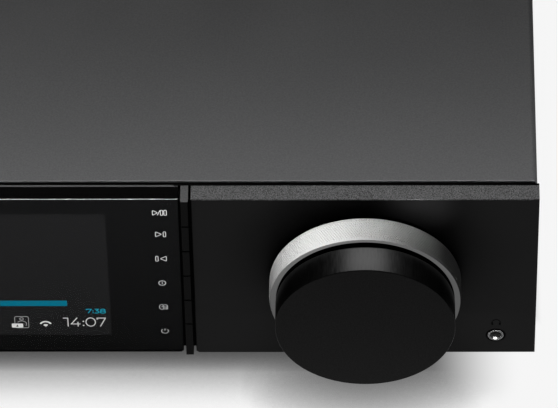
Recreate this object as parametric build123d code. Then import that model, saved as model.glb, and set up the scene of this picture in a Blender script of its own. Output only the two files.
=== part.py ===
"""Network audio player: a half-width hi-fi unit with a glass display window, a strip of six slim keys,
a two-stage rotary control and a headphone socket, standing on four round feet.

Frame, in millimetres: X to the right seen from the front, Y to the back, Z up. The origin is the centre of the
unit's outer box on the surface it stands on. Each function below makes one sub-part, and parts() gathers them.
"""

import math
import os

from build123d import *

# ---- driving dimensions --------------------------------------------------------------------------
OVERALL_W = 317.0
OVERALL_D = 352.0
OVERALL_H = 89.0
KNOB_PROUD = 21.7  # knob face ahead of the fascia
TERMINAL_PROUD = 20.0  # speaker terminals behind the rear panel
FASCIA_LIFT = 10.5  # lower edge of the fascia above the floor
SHEET = 1.5  # folded steel
BOARD_T = 1.6  # circuit boards
GAP = 0.3  # general assembly gap
RUNNING = 0.06  # radial clearance of a turning shaft
TOUCH = 0.01  # two places nearer than this are the same place

# ---- planes worked out from them -----------------------------------------------------------------
SIDE_X = OVERALL_W / 2
FRONT_Y = -OVERALL_D / 2 + KNOB_PROUD
REAR_Y = OVERALL_D / 2 - TERMINAL_PROUD
TOP_Z = OVERALL_H
FASCIA_T = 6.5
FASCIA_BACK_Y = FRONT_Y + FASCIA_T
FASCIA_X = 45.8  # the fascia's left edge, beside the keys

COVER_X = SIDE_X - 0.6
COVER_FRONT_Y = FASCIA_BACK_Y + 1.4
COVER_BACK_Y = REAR_Y + 1.5
BASE_Z = FASCIA_LIFT + 1.5
FLOOR_Z = BASE_Z + 1.2  # upper face of the base pan
BASE_X = COVER_X - SHEET - 0.9
PANEL_IN_Y = REAR_Y - SHEET

# ---- display -------------------------------------------------------------------------------------
LENS_X = 41.6  # the lens's right edge, beside the keys
LENS_FRONT_Y = FRONT_Y + 0.3
LENS_BACK_Y = LENS_FRONT_Y + 2.0
CARRIER_BACK_Y = LENS_FRONT_Y + 5.3
WINDOW_LIP = 0.3  # the carrier's lip in front of the cell
CORNER_CUT = 0.8
SCREEN_H = 62.0
SCREEN_W = SCREEN_H * 8 / 3
SCREEN_RIGHT = 17.7
SCREEN_MID_Z = 49.2
CELL_BORDER = 4.2
CELL_FRONT_Y = LENS_BACK_Y + WINDOW_LIP
CELL_T = 1.6
TRAY_FRONT_Y = CELL_FRONT_Y + CELL_T
TRAY_T = 5.0
RIBBON_X = -40.0
RIBBON_Z = 28.0
RIBBON_W = 20.0
RIBBON_T = 0.3
PLUG_T = 2.5  # connector block on the tray
SUBFRAME_T = 2.0
SUBFRAME_TOP_Z = TOP_Z - 2.0

# ---- keys ----------------------------------------------------------------------------------------
KEY_NAMES = ("play_pause", "next", "previous", "info", "output", "standby")
KEY_PITCH = 12.45
KEY_GAP = 0.3
KEY_W = 2.5
KEY_X = 43.7
KEY_PROUD = 1.0
KEY_TRAVEL = 0.5
KEY_FRONT_Y = FRONT_Y - KEY_PROUD
KEY_BAR_BACK_Y = FASCIA_BACK_Y + 0.2
KEY_STEM_H = 6.0
GUIDE_FRONT_Y = FASCIA_BACK_Y + SUBFRAME_T
GUIDE_WALL = 1.2
GUIDE_DEPTH = 4.0
GUIDE_W = 12.0
GUIDE_X = (KEY_X - GUIDE_W / 2, KEY_X + GUIDE_W / 2)
FLANGE_T = 1.2
SWITCH_SIDE = 6.0
SWITCH_FRONT_Y = GUIDE_FRONT_Y + 4.4
SWITCH_T = 3.5
PLUNGER_R = 1.7
PLUNGER_BURIED = 1.0  # how far a resting plunger reaches into its switch

# ---- rotary control ------------------------------------------------------------------------------
KNOB_X = 102.15
KNOB_Z = 50.0
KNOB_R = 29.35
KNOB_BACK = 11.8  # distances ahead of the fascia
KNOB_NECK_R = 26.5
KNOB_NECK_BACK = 9.0
RING_R = 31.5
RING_BACK = 1.0
RING_FRONT = 10.3
RING_IN_R = 29.3
HUB_FRONT = 8.6
SHAFT_R = 3.0
SLEEVE_R = 5.0
BUSH_R = 6.0
NUT_FLATS = 17.0
NUT_T = 2.8
RECESS_R = 12.5
RECESS_DEPTH = 4.0
ENCODER_SIDE = 26.0
ENCODER_T = 10.0

# ---- headphone socket ----------------------------------------------------------------------------
JACK_X = 145.4
JACK_Z = 19.7
JACK_BORE_R = 1.8
JACK_BEZEL_R = 2.6
JACK_FRONT_Y = FRONT_Y - 0.2
JACK_BEZEL_L = 8.8
JACK_WALL_L = 14.0

# ---- inside --------------------------------------------------------------------------------------
BOARD_Z = FLOOR_Z + 6.8
BOARD_TOP_Z = BOARD_Z + BOARD_T
SCREW_R = 1.5
HEAD_R = 2.8
MAIN_BOARD = ((-70.0, 60.0), (30.0, 150.0))
POWER_BOARD = ((-148.0, -76.0), (-10.0, 150.0))
SPREADER = ((66.0, 149.0), (-30.0, 108.0))
SPREADER_T = 5.0
AMP_BOARDS = (((68.0, 106.0), (-20.0, 102.0)), ((110.0, 148.0), (-20.0, 102.0)))
AMP_Z = FLOOR_Z + SPREADER_T + 6.0

# ---- rear panel ----------------------------------------------------------------------------------
INLET_X = -125.0
SWITCH_X = -90.0
MAINS_Z = 46.0
PIVOT_Y = REAR_Y - 3.0  # the mains rocker's pivot
PIVOT_R = 1.2
ROCKER_TILT = 8.0
LAN_X = -50.0
USB_X = -29.0
OPTICAL_X = -12.0
PHONO_X = (8.0, 26.0, 44.0)
PHONO_Z = (34.0, 56.0)
PHONO_R = 4.15
PHONO_PROUD = 9.0
PHONO_BOSS_R = 4.8
PHONO_BOSS_PROUD = 0.5
SOCKET_BAY = (-66.0, 60.0)  # where the base's rear flange is cut low for the sockets
AERIAL_X = (-58.0, 62.0)
AERIAL_Z = 70.0
AERIAL_R = 3.175
AERIAL_PROUD = 10.0
TERMINAL_PITCH = 19.05
TERMINAL_PAIRS_X = (92.0, 132.0)
TERMINAL_Z = 46.0
STUD_R = 3.2
BANANA_R = 2.05
TERMINAL_CAPS = ("right_minus", "right_plus", "left_minus", "left_plus")

# ---- feet and fasteners --------------------------------------------------------------------------
FOOT_R = 20.0
FOOT_PAD_R = 16.0
FOOT_PAD_T = 2.2
FOOT_PAD_PROUD = 1.2
FOOT_XY = [(x, y) for x in (-120.0, 120.0) for y in (-108.0, 116.0)]
FRONT_SCREW_X = (30.0, 62.0, 130.0)
FASCIA_SCREW_X = (56.0, 149.0)
FASCIA_SCREW_Z = (30.0, 81.0)
FRONT_SCREW_Z = 18.0
SIDE_SCREW_Y = (-110.0, 5.0, 120.0)
SIDE_SCREW_Z = 19.0
REAR_SCREW_X = (-146.0, 0.0, 146.0)
REAR_SCREW_Z = (17.5, 81.0)

# ---- vents ---------------------------------------------------------------------------------------
VENT_COLUMNS = [-117 + 13.0 * i for i in range(19)]
SIDE_VENT_Y = [20 + 8.0 * i for i in range(13)]


# ---- helpers -------------------------------------------------------------------------------------
def block(xs, ys, zs):
    """A box between two values on each axis."""
    size = [b - a for a, b in (xs, ys, zs)]
    middle = [(a + b) / 2 for a, b in (xs, ys, zs)]
    return Pos(*middle) * Box(*size)


def centred(x, z, width, height, ys):
    """A box centred on (x, z), running along Y."""
    return block((x - width / 2, x + width / 2), ys, (z - height / 2, z + height / 2))


def rod_y(x, z, radius, ys):
    """A cylinder along Y."""
    return Pos(x, (ys[0] + ys[1]) / 2, z) * Rot(90, 0, 0) * Cylinder(radius, ys[1] - ys[0])


def rod_z(x, y, radius, zs):
    """A cylinder along Z."""
    return Pos(x, y, (zs[0] + zs[1]) / 2) * Cylinder(radius, zs[1] - zs[0])


def rod_x(y, z, radius, xs):
    """A cylinder along X."""
    return Pos((xs[0] + xs[1]) / 2, y, z) * Rot(0, 90, 0) * Cylinder(radius, xs[1] - xs[0])


def cone_y(x, z, radius_low, radius_high, ys):
    """A cone frustum along Y, radius_low at ys[0] and radius_high at ys[1]."""
    return Pos(x, (ys[0] + ys[1]) / 2, z) * Rot(-90, 0, 0) * Cone(radius_low, radius_high, ys[1] - ys[0])


def ahead(distance):
    """The Y of a plane this far ahead of the fascia."""
    return FRONT_Y - distance


def slot_z(x, y, length, width, zs):
    """A round-ended slot through Z whose length runs along Y."""
    return Pos(x, y, zs[0]) * extrude(Rot(0, 0, 90) * SlotOverall(length, width), zs[1] - zs[0])


def slot_x(y, z, length, width, xs):
    """A round-ended upright slot through X."""
    return Pos(xs[0], y, z) * Rot(0, 90, 0) * extrude(SlotOverall(length, width), xs[1] - xs[0])


def edges_along(part, axis, x=None, z=None):
    """The part's straight edges along an axis, kept only where their centres have this x and this z."""
    found = part.edges().filter_by(GeomType.LINE).filter_by(axis)
    if x is not None:
        found = found.filter_by(lambda edge: abs(edge.center().X - x) < TOUCH)
    if z is not None:
        found = found.filter_by(lambda edge: abs(edge.center().Z - z) < TOUCH)
    return found


def wire_run(points, radius, arriving):
    """A round wire through a list of points, leaving along -Y and arriving along a given direction."""
    path = Spline(*points, tangents=((0, -1, 0), arriving))
    return sweep(Plane(origin=path @ 0, z_dir=path % 0) * Circle(radius), path)


def pan_screw(x, z, head_y, tip_y):
    """A pan-head screw along Y from the underside of its head to its tip, with a cross recess."""
    out = 1 if head_y > tip_y else -1
    top = head_y + out * 1.7
    head = rod_y(x, z, HEAD_R, sorted((head_y, top)))
    head = fillet(head.edges().sort_by(Axis.Y)[-1 if out > 0 else 0], 0.7)
    recess = sorted((head_y + out * 0.9, top + out))
    head -= centred(x, z, 3.2, 0.7, recess)
    head -= centred(x, z, 0.7, 3.2, recess)
    return head + rod_y(x, z, SCREW_R - 0.05, sorted((head_y, tip_y)))


def key_spans():
    """(name, lowest Z, highest Z) of each key from the top down; the last key takes what is left."""
    spans = []
    high = TOP_Z
    for name in KEY_NAMES:
        last = name == KEY_NAMES[-1]
        low = FASCIA_LIFT if last else high - KEY_PITCH
        below = 0 if last else KEY_GAP / 2
        above = 0 if high == TOP_Z else KEY_GAP / 2
        spans.append((name, low + below, high - above))
        high = low
    return spans


def board_holes(board, inset=4.0):
    """The four fixing places of a board given as ((x0, x1), (y0, y1))."""
    (x0, x1), (y0, y1) = board
    return [(x, y) for x in (x0 + inset, x1 - inset) for y in (y0 + inset, y1 - inset)]


def circuit_board(board, z):
    """A board with its four fixing holes."""
    plate = block(*board, (z, z + BOARD_T))
    for x, y in board_holes(board):
        plate -= rod_z(x, y, SCREW_R + 0.1, (z - 1, z + BOARD_T + 1))
    return plate


# ---- casing --------------------------------------------------------------------------------------
def base_pan():
    """Folded steel floor with a flange on each side, slotted for air under the boards."""
    back_y = PANEL_IN_Y - 0.1
    front_y = GUIDE_FRONT_Y + 0.2
    wall = FLOOR_Z - BASE_Z
    flange_top = FLOOR_Z + 13.0
    above = (FLOOR_Z, flange_top + 1)
    pan = block((-BASE_X, BASE_X), (front_y, back_y), (BASE_Z, flange_top))
    pan -= block((-BASE_X + wall, BASE_X - wall), (front_y + wall, back_y - wall), above)
    gaps = [(-BASE_X + wall, SCREEN_RIGHT + CELL_BORDER + 1), (GUIDE_X[0] - 4, GUIDE_X[1] + 4)]
    gaps.append((KNOB_X - ENCODER_SIDE / 2 - 2, KNOB_X + ENCODER_SIDE / 2 + 2))
    gaps.append((JACK_X - 7, JACK_X + 7))
    for xs in gaps:
        pan -= block(xs, (front_y - 1, front_y + wall + 1), above)
    pan -= block(SOCKET_BAY, (back_y - wall - 1, back_y + 1), (REAR_SCREW_Z[0] + 3, flange_top + 1))
    pan = fillet(edges_along(pan, Axis.Y, z=BASE_Z), 1.0)
    vents = [slot_z(x, y, 34, 3, (BASE_Z - 1, FLOOR_Z + 1)) for x in VENT_COLUMNS for y in (-60.0, 60.0)]
    feet = [rod_z(x, y, 2.2, (BASE_Z - 1, FLOOR_Z + 1)) for x, y in FOOT_XY]
    sides = [rod_x(y, SIDE_SCREW_Z, SCREW_R, (-BASE_X - 1, BASE_X + 1)) for y in SIDE_SCREW_Y]
    rears = [rod_y(x, REAR_SCREW_Z[0], SCREW_R, (back_y - wall - 1, back_y + 1)) for x in REAR_SCREW_X]
    fronts = [rod_y(x, FRONT_SCREW_Z, SCREW_R, (front_y - 1, front_y + wall + 1)) for x in FRONT_SCREW_X]
    return pan - vents - feet - sides - rears - fronts


def top_cover():
    """One folded sheet: the top, both sides and a narrow flange behind the rear panel's top edge."""
    ys = (COVER_FRONT_Y, COVER_BACK_Y)
    cover = block((-COVER_X, COVER_X), ys, (BASE_Z, TOP_Z))
    cover = fillet(edges_along(cover, Axis.Y, z=TOP_Z), 1.6)
    inner_x = COVER_X - SHEET
    hollow = block((-inner_x, inner_x), (ys[0] - 1, ys[1] + 1), (BASE_Z - 1, TOP_Z - SHEET))
    hollow = fillet(edges_along(hollow, Axis.Y, z=TOP_Z - SHEET), 0.5)
    cover -= hollow
    flange_y = (PANEL_IN_Y - 0.1 - SHEET, PANEL_IN_Y - 0.1)
    cover += block((-inner_x + 8, inner_x - 8), flange_y, (TOP_Z - 12, TOP_Z - SHEET))
    front_rim = cover.edges().filter_by(Axis.X).sort_by(Axis.Y)[0:2].sort_by(Axis.Z)[-1]
    cover = fillet(front_rim, 0.35)
    vents = [slot_z(x, y, 42, 3.2, (TOP_Z - 4, TOP_Z + 1)) for x in VENT_COLUMNS for y in (40.0, 92.0)]
    louvres = [slot_x(y, 46, 26, 3, (-COVER_X - 1, COVER_X + 1)) for y in SIDE_VENT_Y]
    screws = []
    for y in SIDE_SCREW_Y:
        for side in (-1, 1):
            screws.append(side_screw(side, y, 0.05))
    rears = [rod_y(x, REAR_SCREW_Z[1], SCREW_R, (flange_y[0] - 1, flange_y[1] + 1)) for x in REAR_SCREW_X]
    return cover - vents - louvres - screws - rears


def side_screw(side, y, extra=0.0):
    """A countersunk screw through the cover's side into the base flange; extra widens it into a hole tool."""
    head = (COVER_X - SHEET + 0.1, COVER_X)
    middle = (head[0] + head[1]) / 2
    turn = Rot(0, 90 * side, 0)
    cone = Pos(side * middle, y, SIDE_SCREW_Z) * turn * Cone(SCREW_R + extra, HEAD_R + extra, head[1] - head[0])
    shank = rod_x(y, SIDE_SCREW_Z, SCREW_R + extra, sorted((side * (BASE_X - 5), side * head[0])))
    return cone + shank


def case_screws():
    """Countersunk screws in the cover's sides, and pan-head screws in the rear panel, subframe and fascia."""
    made = []
    for y in SIDE_SCREW_Y:
        for side in (-1, 1):
            socket = rod_x(y, SIDE_SCREW_Z, 1.1, sorted((side * (COVER_X - 1.0), side * (COVER_X + 1))))
            made.append(side_screw(side, y) - socket)
    made += [pan_screw(x, z, REAR_Y, REAR_Y - 7) for x in REAR_SCREW_X for z in REAR_SCREW_Z]
    made += [pan_screw(x, FRONT_SCREW_Z, GUIDE_FRONT_Y + 1.4, FASCIA_BACK_Y + 0.3) for x in FRONT_SCREW_X]
    made += [pan_screw(x, z, GUIDE_FRONT_Y, FASCIA_BACK_Y - 3.5) for x, z in fascia_screw_places()]
    return Compound(children=made)


def fascia_screw_places():
    """(x, z) of the screws from behind into the fascia."""
    return [(x, z) for x in FASCIA_SCREW_X for z in FASCIA_SCREW_Z]


def rear_panel():
    """Steel plate between the base and the cover, cut out for every socket."""
    half = COVER_X - SHEET - GAP
    plate = block((-half, half), (PANEL_IN_Y, REAR_Y), (BASE_Z + 0.2, TOP_Z - SHEET - GAP))
    through = (PANEL_IN_Y - 1, REAR_Y + 1)
    cuts = [centred(INLET_X, MAINS_Z, 28, 21, through), centred(SWITCH_X, MAINS_Z, 13.4, 19.8, through)]
    cuts.append(centred(LAN_X, BOARD_TOP_Z + 6.8, 16.6, 14.2, through))
    cuts.append(centred(USB_X, BOARD_TOP_Z + 3.6, 15.1, 7.8, through))
    cuts.append(centred(OPTICAL_X, BOARD_TOP_Z + 5.2, 10.4, 11.0, through))
    cuts += [rod_y(x, z, PHONO_BOSS_R + 0.2, through) for x in PHONO_X for z in PHONO_Z]
    cuts += [rod_y(x, AERIAL_Z, AERIAL_R + 0.1, through) for x in AERIAL_X]
    cuts += [rod_y(x, TERMINAL_Z, 5.1, through) for x in terminal_x()]
    cuts += [rod_y(x, z, SCREW_R + 0.1, through) for x in REAR_SCREW_X for z in REAR_SCREW_Z]
    cuts += [rod_y(INLET_X + side * 20, MAINS_Z, SCREW_R + 0.1, through) for side in (-1, 1)]
    return plate - cuts


def front_subframe():
    """Metal plate that ties the front together, with a full-height pad behind the display lens."""
    plate = block((-BASE_X, BASE_X), (FASCIA_BACK_Y, GUIDE_FRONT_Y), (FASCIA_LIFT + 1.2, SUBFRAME_TOP_Z))
    pad = block((-SIDE_X, LENS_X), (CARRIER_BACK_Y, FASCIA_BACK_Y), (FASCIA_LIFT, TOP_Z - 0.2))
    frame = plate + pad
    frame -= centred(*cell_middle(), *cell_size(GAP), (CARRIER_BACK_Y - 1, GUIDE_FRONT_Y + 1))
    frame -= block((LENS_X + 0.2, FASCIA_X - 0.2), (FASCIA_BACK_Y - 1, GUIDE_FRONT_Y + 1), (0, TOP_Z + 1))
    frame += block((LENS_X, FASCIA_X), (FASCIA_BACK_Y + 1.0, GUIDE_FRONT_Y), (FASCIA_LIFT + 1.2, FASCIA_LIFT + 2.2))
    frame -= rod_y(KNOB_X, KNOB_Z, BUSH_R + 0.2, (FASCIA_BACK_Y - 1, GUIDE_FRONT_Y + 1))
    frame -= rod_y(JACK_X, JACK_Z, JACK_BEZEL_R + 0.15, (FASCIA_BACK_Y - 1, GUIDE_FRONT_Y + 1))
    places = [(x, FRONT_SCREW_Z) for x in FRONT_SCREW_X] + fascia_screw_places()
    return frame - [rod_y(x, z, SCREW_R, (FASCIA_BACK_Y - 1, GUIDE_FRONT_Y + 1)) for x, z in places]


def fascia():
    """Thick aluminium plate at the right, recessed behind the rotary control."""
    plate = block((FASCIA_X, SIDE_X), (FRONT_Y, FASCIA_BACK_Y), (FASCIA_LIFT, TOP_Z))
    plate = chamfer(edges_along(plate, Axis.Y, x=FASCIA_X, z=FASCIA_LIFT), CORNER_CUT)
    plate = chamfer(plate.faces().sort_by(Axis.Y)[0].edges(), 0.25)
    plate -= rod_y(KNOB_X, KNOB_Z, BUSH_R + 0.2, (FRONT_Y - 1, FASCIA_BACK_Y + 1))
    plate -= rod_y(KNOB_X, KNOB_Z, RECESS_R, (FRONT_Y - 1, FRONT_Y + RECESS_DEPTH))
    plate -= rod_y(JACK_X, JACK_Z, JACK_BEZEL_R + 0.05, (FRONT_Y - 1, FASCIA_BACK_Y + 1))
    tapped = (FASCIA_BACK_Y - 4, FASCIA_BACK_Y + 1)
    return plate - [rod_y(x, z, SCREW_R, tapped) for x, z in fascia_screw_places()]


def feet():
    """Four round feet, each recessed below for its pad and bored above for its screw."""
    made = []
    for x, y in FOOT_XY:
        foot = rod_z(x, y, FOOT_R, (FOOT_PAD_PROUD, BASE_Z))
        foot = chamfer(foot.edges().filter_by(GeomType.CIRCLE).sort_by(Axis.Z)[0], 1.5)
        foot -= rod_z(x, y, FOOT_PAD_R + 0.1, (FOOT_PAD_PROUD - 1, FOOT_PAD_T))
        foot -= rod_z(x, y, 2.0, (FOOT_PAD_T + 2, BASE_Z + 1))
        made.append(foot)
    return Compound(children=made)


def foot_pads():
    """The rubber pads that the unit stands on."""
    made = []
    for x, y in FOOT_XY:
        pad = rod_z(x, y, FOOT_PAD_R, (0, FOOT_PAD_T))
        made.append(fillet(pad.edges().filter_by(GeomType.CIRCLE).sort_by(Axis.Z)[0], 0.6))
    return Compound(children=made)


def foot_screws():
    """Pan-head screws that hold the feet from inside the base."""
    made = []
    for x, y in FOOT_XY:
        head = rod_z(x, y, 3.8, (FLOOR_Z, FLOOR_Z + 2.4))
        head = fillet(head.edges().sort_by(Axis.Z)[-1], 0.8)
        made.append(head + rod_z(x, y, 2.0, (FOOT_PAD_T + 3, FLOOR_Z)))
    return Compound(children=made)


# ---- display -------------------------------------------------------------------------------------
def cell_middle():
    """Centre of the screen's visible area as (x, z)."""
    return SCREEN_RIGHT - SCREEN_W / 2, SCREEN_MID_Z


def cell_size(extra=0.0):
    """Outer width and height of the display cell, with extra all round."""
    return SCREEN_W + 2 * (CELL_BORDER + extra), SCREEN_H + 2 * (CELL_BORDER + extra)


def display_lens():
    """Polished glass window that covers the screen and the key symbols."""
    lens = block((-SIDE_X, LENS_X), (LENS_FRONT_Y, LENS_BACK_Y), (FASCIA_LIFT, TOP_Z))
    lens = chamfer(edges_along(lens, Axis.Y, x=LENS_X, z=FASCIA_LIFT), CORNER_CUT)
    return chamfer(lens.faces().sort_by(Axis.Y)[0].edges(), 0.3)


def lens_carrier():
    """Black moulded frame bonded to the back of the lens, open over the screen, with a pocket for the cell."""
    carrier = block((-SIDE_X, LENS_X), (LENS_BACK_Y, CARRIER_BACK_Y), (FASCIA_LIFT, TOP_Z))
    carrier = chamfer(edges_along(carrier, Axis.Y, x=LENS_X, z=FASCIA_LIFT), CORNER_CUT)
    carrier -= centred(*cell_middle(), SCREEN_W, SCREEN_H, (LENS_BACK_Y - 1, CARRIER_BACK_Y + 1))
    return carrier - centred(*cell_middle(), *cell_size(GAP), (CELL_FRONT_Y, CARRIER_BACK_Y + 1))


def lcd_cell():
    """Glass display cell."""
    return centred(*cell_middle(), *cell_size(), (CELL_FRONT_Y, TRAY_FRONT_Y))


def lcd_tray():
    """Backlight tray behind the cell, with a connector block for the ribbon."""
    tray = centred(*cell_middle(), *cell_size(), (TRAY_FRONT_Y, TRAY_FRONT_Y + TRAY_T))
    plug_y = (TRAY_FRONT_Y + TRAY_T, TRAY_FRONT_Y + TRAY_T + PLUG_T)
    return tray + centred(RIBBON_X, RIBBON_Z, RIBBON_W + 6, 6, plug_y)


# ---- keys ----------------------------------------------------------------------------------------
def key(low, high):
    """One key: the slim bar, its stem and retaining flange, and the switch plunger that it pushes."""
    middle = (low + high) / 2
    flange_y = (GUIDE_FRONT_Y + GUIDE_WALL, GUIDE_FRONT_Y + GUIDE_WALL + FLANGE_T)
    plunger_y = (SWITCH_FRONT_Y - 1.0, SWITCH_FRONT_Y + PLUNGER_BURIED)
    bar = block((KEY_X - KEY_W / 2, KEY_X + KEY_W / 2), (KEY_FRONT_Y, KEY_BAR_BACK_Y), (low, high))
    bar = fillet(bar.faces().sort_by(Axis.Y)[0].edges(), 0.3)
    bar += centred(KEY_X, middle, KEY_W, KEY_STEM_H, (KEY_BAR_BACK_Y, flange_y[0]))
    bar += centred(KEY_X, middle, KEY_W + 3.5, KEY_STEM_H + 3, flange_y)
    bar += rod_y(KEY_X, middle, PLUNGER_R - 0.2, (flange_y[1], plunger_y[0]))
    plunger = rod_y(KEY_X, middle, PLUNGER_R, plunger_y)
    return Compound(children=[bar, plunger])


def key_guide():
    """Comb that the key stems slide in, screwed to the back of the subframe."""
    back_y = GUIDE_FRONT_Y + GUIDE_DEPTH
    guide = block(GUIDE_X, (GUIDE_FRONT_Y, back_y), (FLOOR_Z + 0.3, SUBFRAME_TOP_Z))
    for _, low, high in key_spans():
        middle = (low + high) / 2
        guide -= centred(KEY_X, middle, KEY_W + 0.4, KEY_STEM_H + 0.4, (GUIDE_FRONT_Y - 1, back_y + 1))
        guide -= centred(KEY_X, middle, KEY_W + 4.0, KEY_STEM_H + 3.6, (GUIDE_FRONT_Y + GUIDE_WALL, back_y + 1))
    return guide


def key_switches():
    """Six tactile switches on the key board, each with a well for its plunger."""
    made = []
    for _, low, high in key_spans():
        middle = (low + high) / 2
        body = centred(KEY_X, middle, SWITCH_SIDE, SWITCH_SIDE, (SWITCH_FRONT_Y, SWITCH_FRONT_Y + SWITCH_T))
        well = (SWITCH_FRONT_Y - 1, SWITCH_FRONT_Y + PLUNGER_BURIED + KEY_TRAVEL + 0.3)
        made.append(body - rod_y(KEY_X, middle, PLUNGER_R + RUNNING, well))
    return Compound(children=made)


def key_board():
    """Narrow board that carries the switches."""
    front = SWITCH_FRONT_Y + SWITCH_T
    return block((KEY_X - 9, KEY_X + 9), (front, front + BOARD_T), (FLOOR_Z + 0.5, SUBFRAME_TOP_Z - 2))


# ---- rotary control ------------------------------------------------------------------------------
def volume_knob():
    """Machined cap with a narrower neck, hollowed from behind round a central boss."""
    face = ahead(KNOB_PROUD)
    cap = rod_y(KNOB_X, KNOB_Z, KNOB_R, (face, ahead(KNOB_BACK)))
    cap = chamfer(cap.edges().filter_by(GeomType.CIRCLE).sort_by(Axis.Y)[0], 0.35)
    cap += rod_y(KNOB_X, KNOB_Z, KNOB_NECK_R, (ahead(KNOB_BACK), ahead(KNOB_NECK_BACK)))
    cap -= rod_y(KNOB_X, KNOB_Z, KNOB_NECK_R - 2.5, (face + 3.0, ahead(KNOB_NECK_BACK) + 1))
    cap += rod_y(KNOB_X, KNOB_Z, 8.0, (face + 2.0, ahead(KNOB_NECK_BACK)))
    return cap - shaft_profile(0.01, (face + 3.5, ahead(KNOB_NECK_BACK) + 1))


def shaft_profile(extra, ys):
    """The D-shaped shaft section, with extra on its radius and flat."""
    rod = rod_y(KNOB_X, KNOB_Z, SHAFT_R + extra, ys)
    flat = SHAFT_R - 1.0 + extra
    return rod - block((KNOB_X - 5, KNOB_X + 5), (ys[0] - 1, ys[1] + 1), (KNOB_Z + flat, KNOB_Z + 6))


def volume_shaft():
    """Inner shaft of the encoder, flatted where the knob grips it."""
    flat_y = (ahead(KNOB_PROUD) + 3.6, ahead(KNOB_NECK_BACK))
    return shaft_profile(0.0, flat_y) + rod_y(KNOB_X, KNOB_Z, SHAFT_R, (flat_y[1], ahead(-14.0)))


def selector_ring():
    """Outer ring of the rotary control; its rim carries the knurl."""
    ring = rod_y(KNOB_X, KNOB_Z, RING_R, (ahead(RING_FRONT), ahead(RING_BACK)))
    ring -= rod_y(KNOB_X, KNOB_Z, RING_IN_R, (ahead(RING_FRONT) - 1, ahead(RING_BACK) + 1))
    ring -= cone_y(KNOB_X, KNOB_Z, RING_R - 0.3, RING_IN_R - 0.1, (ahead(RING_FRONT), ahead(RING_FRONT) + 0.5))
    return chamfer(ring.edges().filter_by(GeomType.CIRCLE).sort_by(Axis.Y)[-2:].sort_by(SortBy.RADIUS)[-1], 0.3)


def selector_hub():
    """Black web that carries the selector ring on the hollow shaft."""
    hub = rod_y(KNOB_X, KNOB_Z, RING_IN_R, (ahead(HUB_FRONT), ahead(RING_BACK)))
    hub -= rod_y(KNOB_X, KNOB_Z, RING_IN_R - 2.5, (ahead(RING_BACK) - 4.0, ahead(RING_BACK) + 1))
    hub += rod_y(KNOB_X, KNOB_Z, SLEEVE_R + 3, (ahead(HUB_FRONT), ahead(RING_BACK)))
    return hub - rod_y(KNOB_X, KNOB_Z, SLEEVE_R, (ahead(HUB_FRONT) - 1, ahead(RING_BACK) + 1))


def selector_shaft():
    """Hollow outer shaft of the encoder."""
    sleeve = rod_y(KNOB_X, KNOB_Z, SLEEVE_R, (ahead(HUB_FRONT), ahead(-9.5)))
    return sleeve - rod_y(KNOB_X, KNOB_Z, SHAFT_R + RUNNING, (ahead(HUB_FRONT) - 1, ahead(-10)))


def dual_encoder():
    """Encoder body and threaded bush, bored for both shafts."""
    body = centred(KNOB_X, KNOB_Z, ENCODER_SIDE, ENCODER_SIDE, (GUIDE_FRONT_Y, GUIDE_FRONT_Y + ENCODER_T))
    body += rod_y(KNOB_X, KNOB_Z, BUSH_R, (FRONT_Y + 0.8, GUIDE_FRONT_Y))
    body -= rod_y(KNOB_X, KNOB_Z, SLEEVE_R + RUNNING, (FRONT_Y, ahead(-10.0)))
    return body - rod_y(KNOB_X, KNOB_Z, SHAFT_R + RUNNING, (ahead(-10.0), ahead(-14.5)))


def encoder_nut():
    """Hexagon nut in the fascia's recess."""
    seat = FRONT_Y + RECESS_DEPTH
    hexagon = RegularPolygon(NUT_FLATS / 2, 6, major_radius=False)
    nut = Pos(KNOB_X, seat, KNOB_Z) * Rot(90, 0, 0) * extrude(hexagon, NUT_T)
    return nut - rod_y(KNOB_X, KNOB_Z, BUSH_R, (seat - NUT_T - 1, seat + 1))


def control_board():
    """Board behind the encoder."""
    front = GUIDE_FRONT_Y + ENCODER_T
    return block((KNOB_X - 24, KNOB_X + 24), (front, front + BOARD_T), (KNOB_Z - 28, KNOB_Z + 26))


# ---- headphone socket ----------------------------------------------------------------------------
def headphone_bezel():
    """Plated sleeve that lines the fascia's hole, with a countersunk mouth."""
    sleeve = rod_y(JACK_X, JACK_Z, JACK_BEZEL_R, (JACK_FRONT_Y, JACK_FRONT_Y + JACK_BEZEL_L))
    sleeve -= rod_y(JACK_X, JACK_Z, JACK_BORE_R, (JACK_FRONT_Y - 1, JACK_FRONT_Y + JACK_BEZEL_L + 1))
    return sleeve - cone_y(JACK_X, JACK_Z, JACK_BORE_R + 0.3, JACK_BORE_R, (JACK_FRONT_Y, JACK_FRONT_Y + 0.3))


def headphone_socket():
    """Socket body behind the sleeve, bored for the plug."""
    start = JACK_FRONT_Y + JACK_BEZEL_L
    end = JACK_FRONT_Y + JACK_WALL_L
    body = centred(JACK_X, JACK_Z, 8, 9, (start, end + 1.5))
    return body - rod_y(JACK_X, JACK_Z, JACK_BORE_R, (start - 1, end))


# ---- electronics ---------------------------------------------------------------------------------
def main_board():
    """Streaming and converter board at the back."""
    return circuit_board(MAIN_BOARD, BOARD_Z)


def main_board_chips():
    """Processor, memory and converters."""
    places = ((-45, 85, 20), (-15, 70, 12), (-15, 92, 12), (20, 85, 10), (36, 85, 10))
    return Compound(
        children=[
            block((x - s / 2, x + s / 2), (y - s / 2, y + s / 2), (BOARD_TOP_Z, BOARD_TOP_Z + 1.8))
            for x, y, s in places
        ]
    )


def network_module():
    """Shield can over the radio module, with a low rim."""
    rim = block((-62, -30), (40, 62), (BOARD_TOP_Z, BOARD_TOP_Z + 1.0))
    return rim + block((-61, -31), (41, 61), (BOARD_TOP_Z + 1.0, BOARD_TOP_Z + 4.0))


def power_board():
    """Mains power supply board."""
    return circuit_board(POWER_BOARD, BOARD_Z)


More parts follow.
